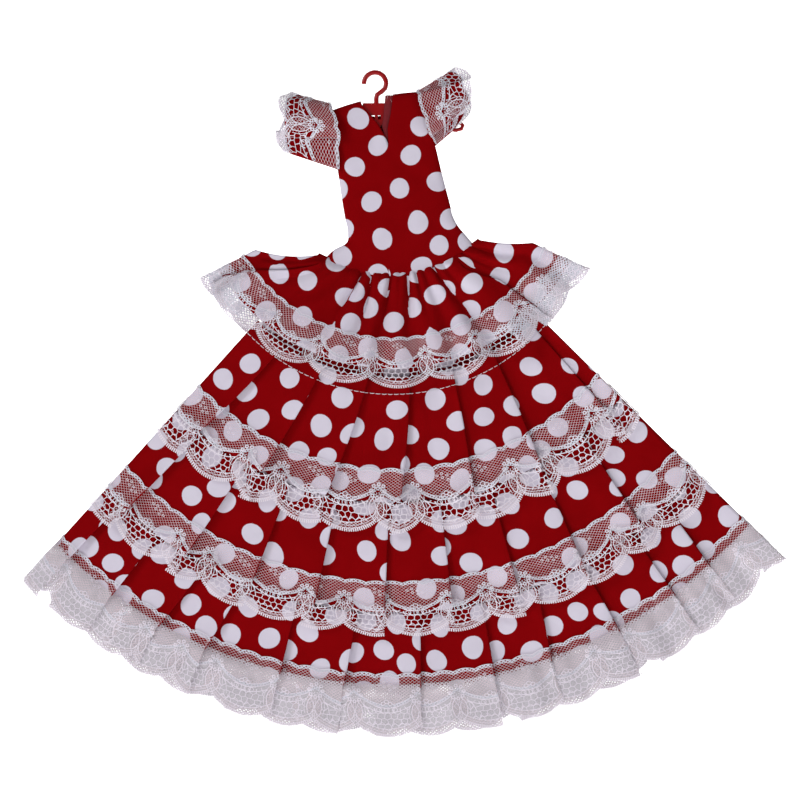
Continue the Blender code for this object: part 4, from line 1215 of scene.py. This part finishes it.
# Polyester sewing thread: white, with a slight shine
sewing_thread, tree = new_material("polyester sewing thread")
surface(tree, {"Base Color": linear("#DCD6DF"), "Roughness": 0.45, "Sheen Weight": 0.2})
stitches = stitch_tree(sewing_thread)
for side, half, _ in SKIRT_HALVES:
    tier = TIERS["tier_upper"]
    middle = STITCH["radius"]
    share = (middle - tier["top"][0]) / (tier["bottom"][0] - tier["top"][0])
    edge = tier["top"][1] + (tier["bottom"][1] - tier["top"][1]) * share
    folds = folds_at(tier, share)
    angles = np.linspace(FAN["left"] + 0.6, FAN["right"] - 0.6, 120)
    depths = []
    for angle in angles:
        number = int(np.searchsorted(folds, angle))
        panel = panels_at(folds, middle)[number]
        depths.append(float(pleat_depth(panel, number, [angle], middle, share, tier[side])[0]) + 0.3)
    points = on_fan(angles, bowed(middle, edge, angles), np.array(depths), half)
    stitch_row(f"topstitching_{side}", points, stitches)


# The photographer's table and lights: a white sweep, one large soft light high on the left
# and a weaker, wider one beside the camera.
white, tree = new_material("white backdrop paper")
surface(tree, {"Base Color": linear("#F7F7F8"), "Roughness": 0.95,
               "Emission Color": linear("#FFFFFF"), "Emission Strength": 1.0})
# The sweep's section in metres: the floor, a round bend and the wall behind the dress
SWEEP = {"near": -3.0, "far": 1.4, "floor": -0.8, "bend": 0.4, "top": 2.6, "half": 3.0}
profile = [(SWEEP["near"], SWEEP["floor"]), (SWEEP["far"], SWEEP["floor"])]
profile += [(SWEEP["far"] + SWEEP["bend"] * math.sin(t), SWEEP["floor"] + SWEEP["bend"] * (1 - math.cos(t)))
            for t in np.linspace(0.1, math.pi / 2, 12)]
profile += [(SWEEP["far"] + SWEEP["bend"], SWEEP["top"])]
mesh = bpy.data.meshes.new("sweep")
mesh.from_pydata([(x, y, z) for y, z in profile for x in (-SWEEP["half"], SWEEP["half"])], [],
                 [(2 * i, 2 * i + 1, 2 * i + 3, 2 * i + 2) for i in range(len(profile) - 1)])
mesh.materials.append(white)
for face in mesh.polygons:
    face.use_smooth = True
sweep = put("sweep", mesh)

world = bpy.data.worlds.new("studio")
bpy.context.scene.world = world
world.use_nodes = True
world.node_tree.nodes["Background"].inputs["Color"].default_value = linear("#FFFFFF")
world.node_tree.nodes["Background"].inputs["Strength"].default_value = 0.08

LIT = (0.0, 0.0, -0.18)      # the lamps point at the middle of the dress
# Each lamp's place and width in metres, and its power in watts
for name, place, size, power in (("key", (-1.5, -1.15, 0.95), 0.6, 18.5),
                                 ("fill", (0.4, -1.9, -0.4), 1.4, 4.7)):
    lamp = bpy.data.lights.new(name, "AREA")
    lamp.size = size
    lamp.energy = power
    light = put(name, lamp)
    light.location = place
    light.rotation_euler = (Vector(LIT) - Vector(place)).to_track_quat("-Z", "Y").to_euler()

# A long lens in front of the dress, level with its middle
camera_data = bpy.data.cameras.new("camera")
camera_data.lens = 99.2
camera_data.sensor_width = 36.0
camera_data.clip_start = 0.05
camera = put("camera", camera_data)
camera.location = (0.01335, -1.208, -0.1782)
camera.rotation_euler = (math.radians(90), 0.0, 0.0)
bpy.context.scene.camera = camera
bpy.context.scene.view_settings.view_transform = "Standard"
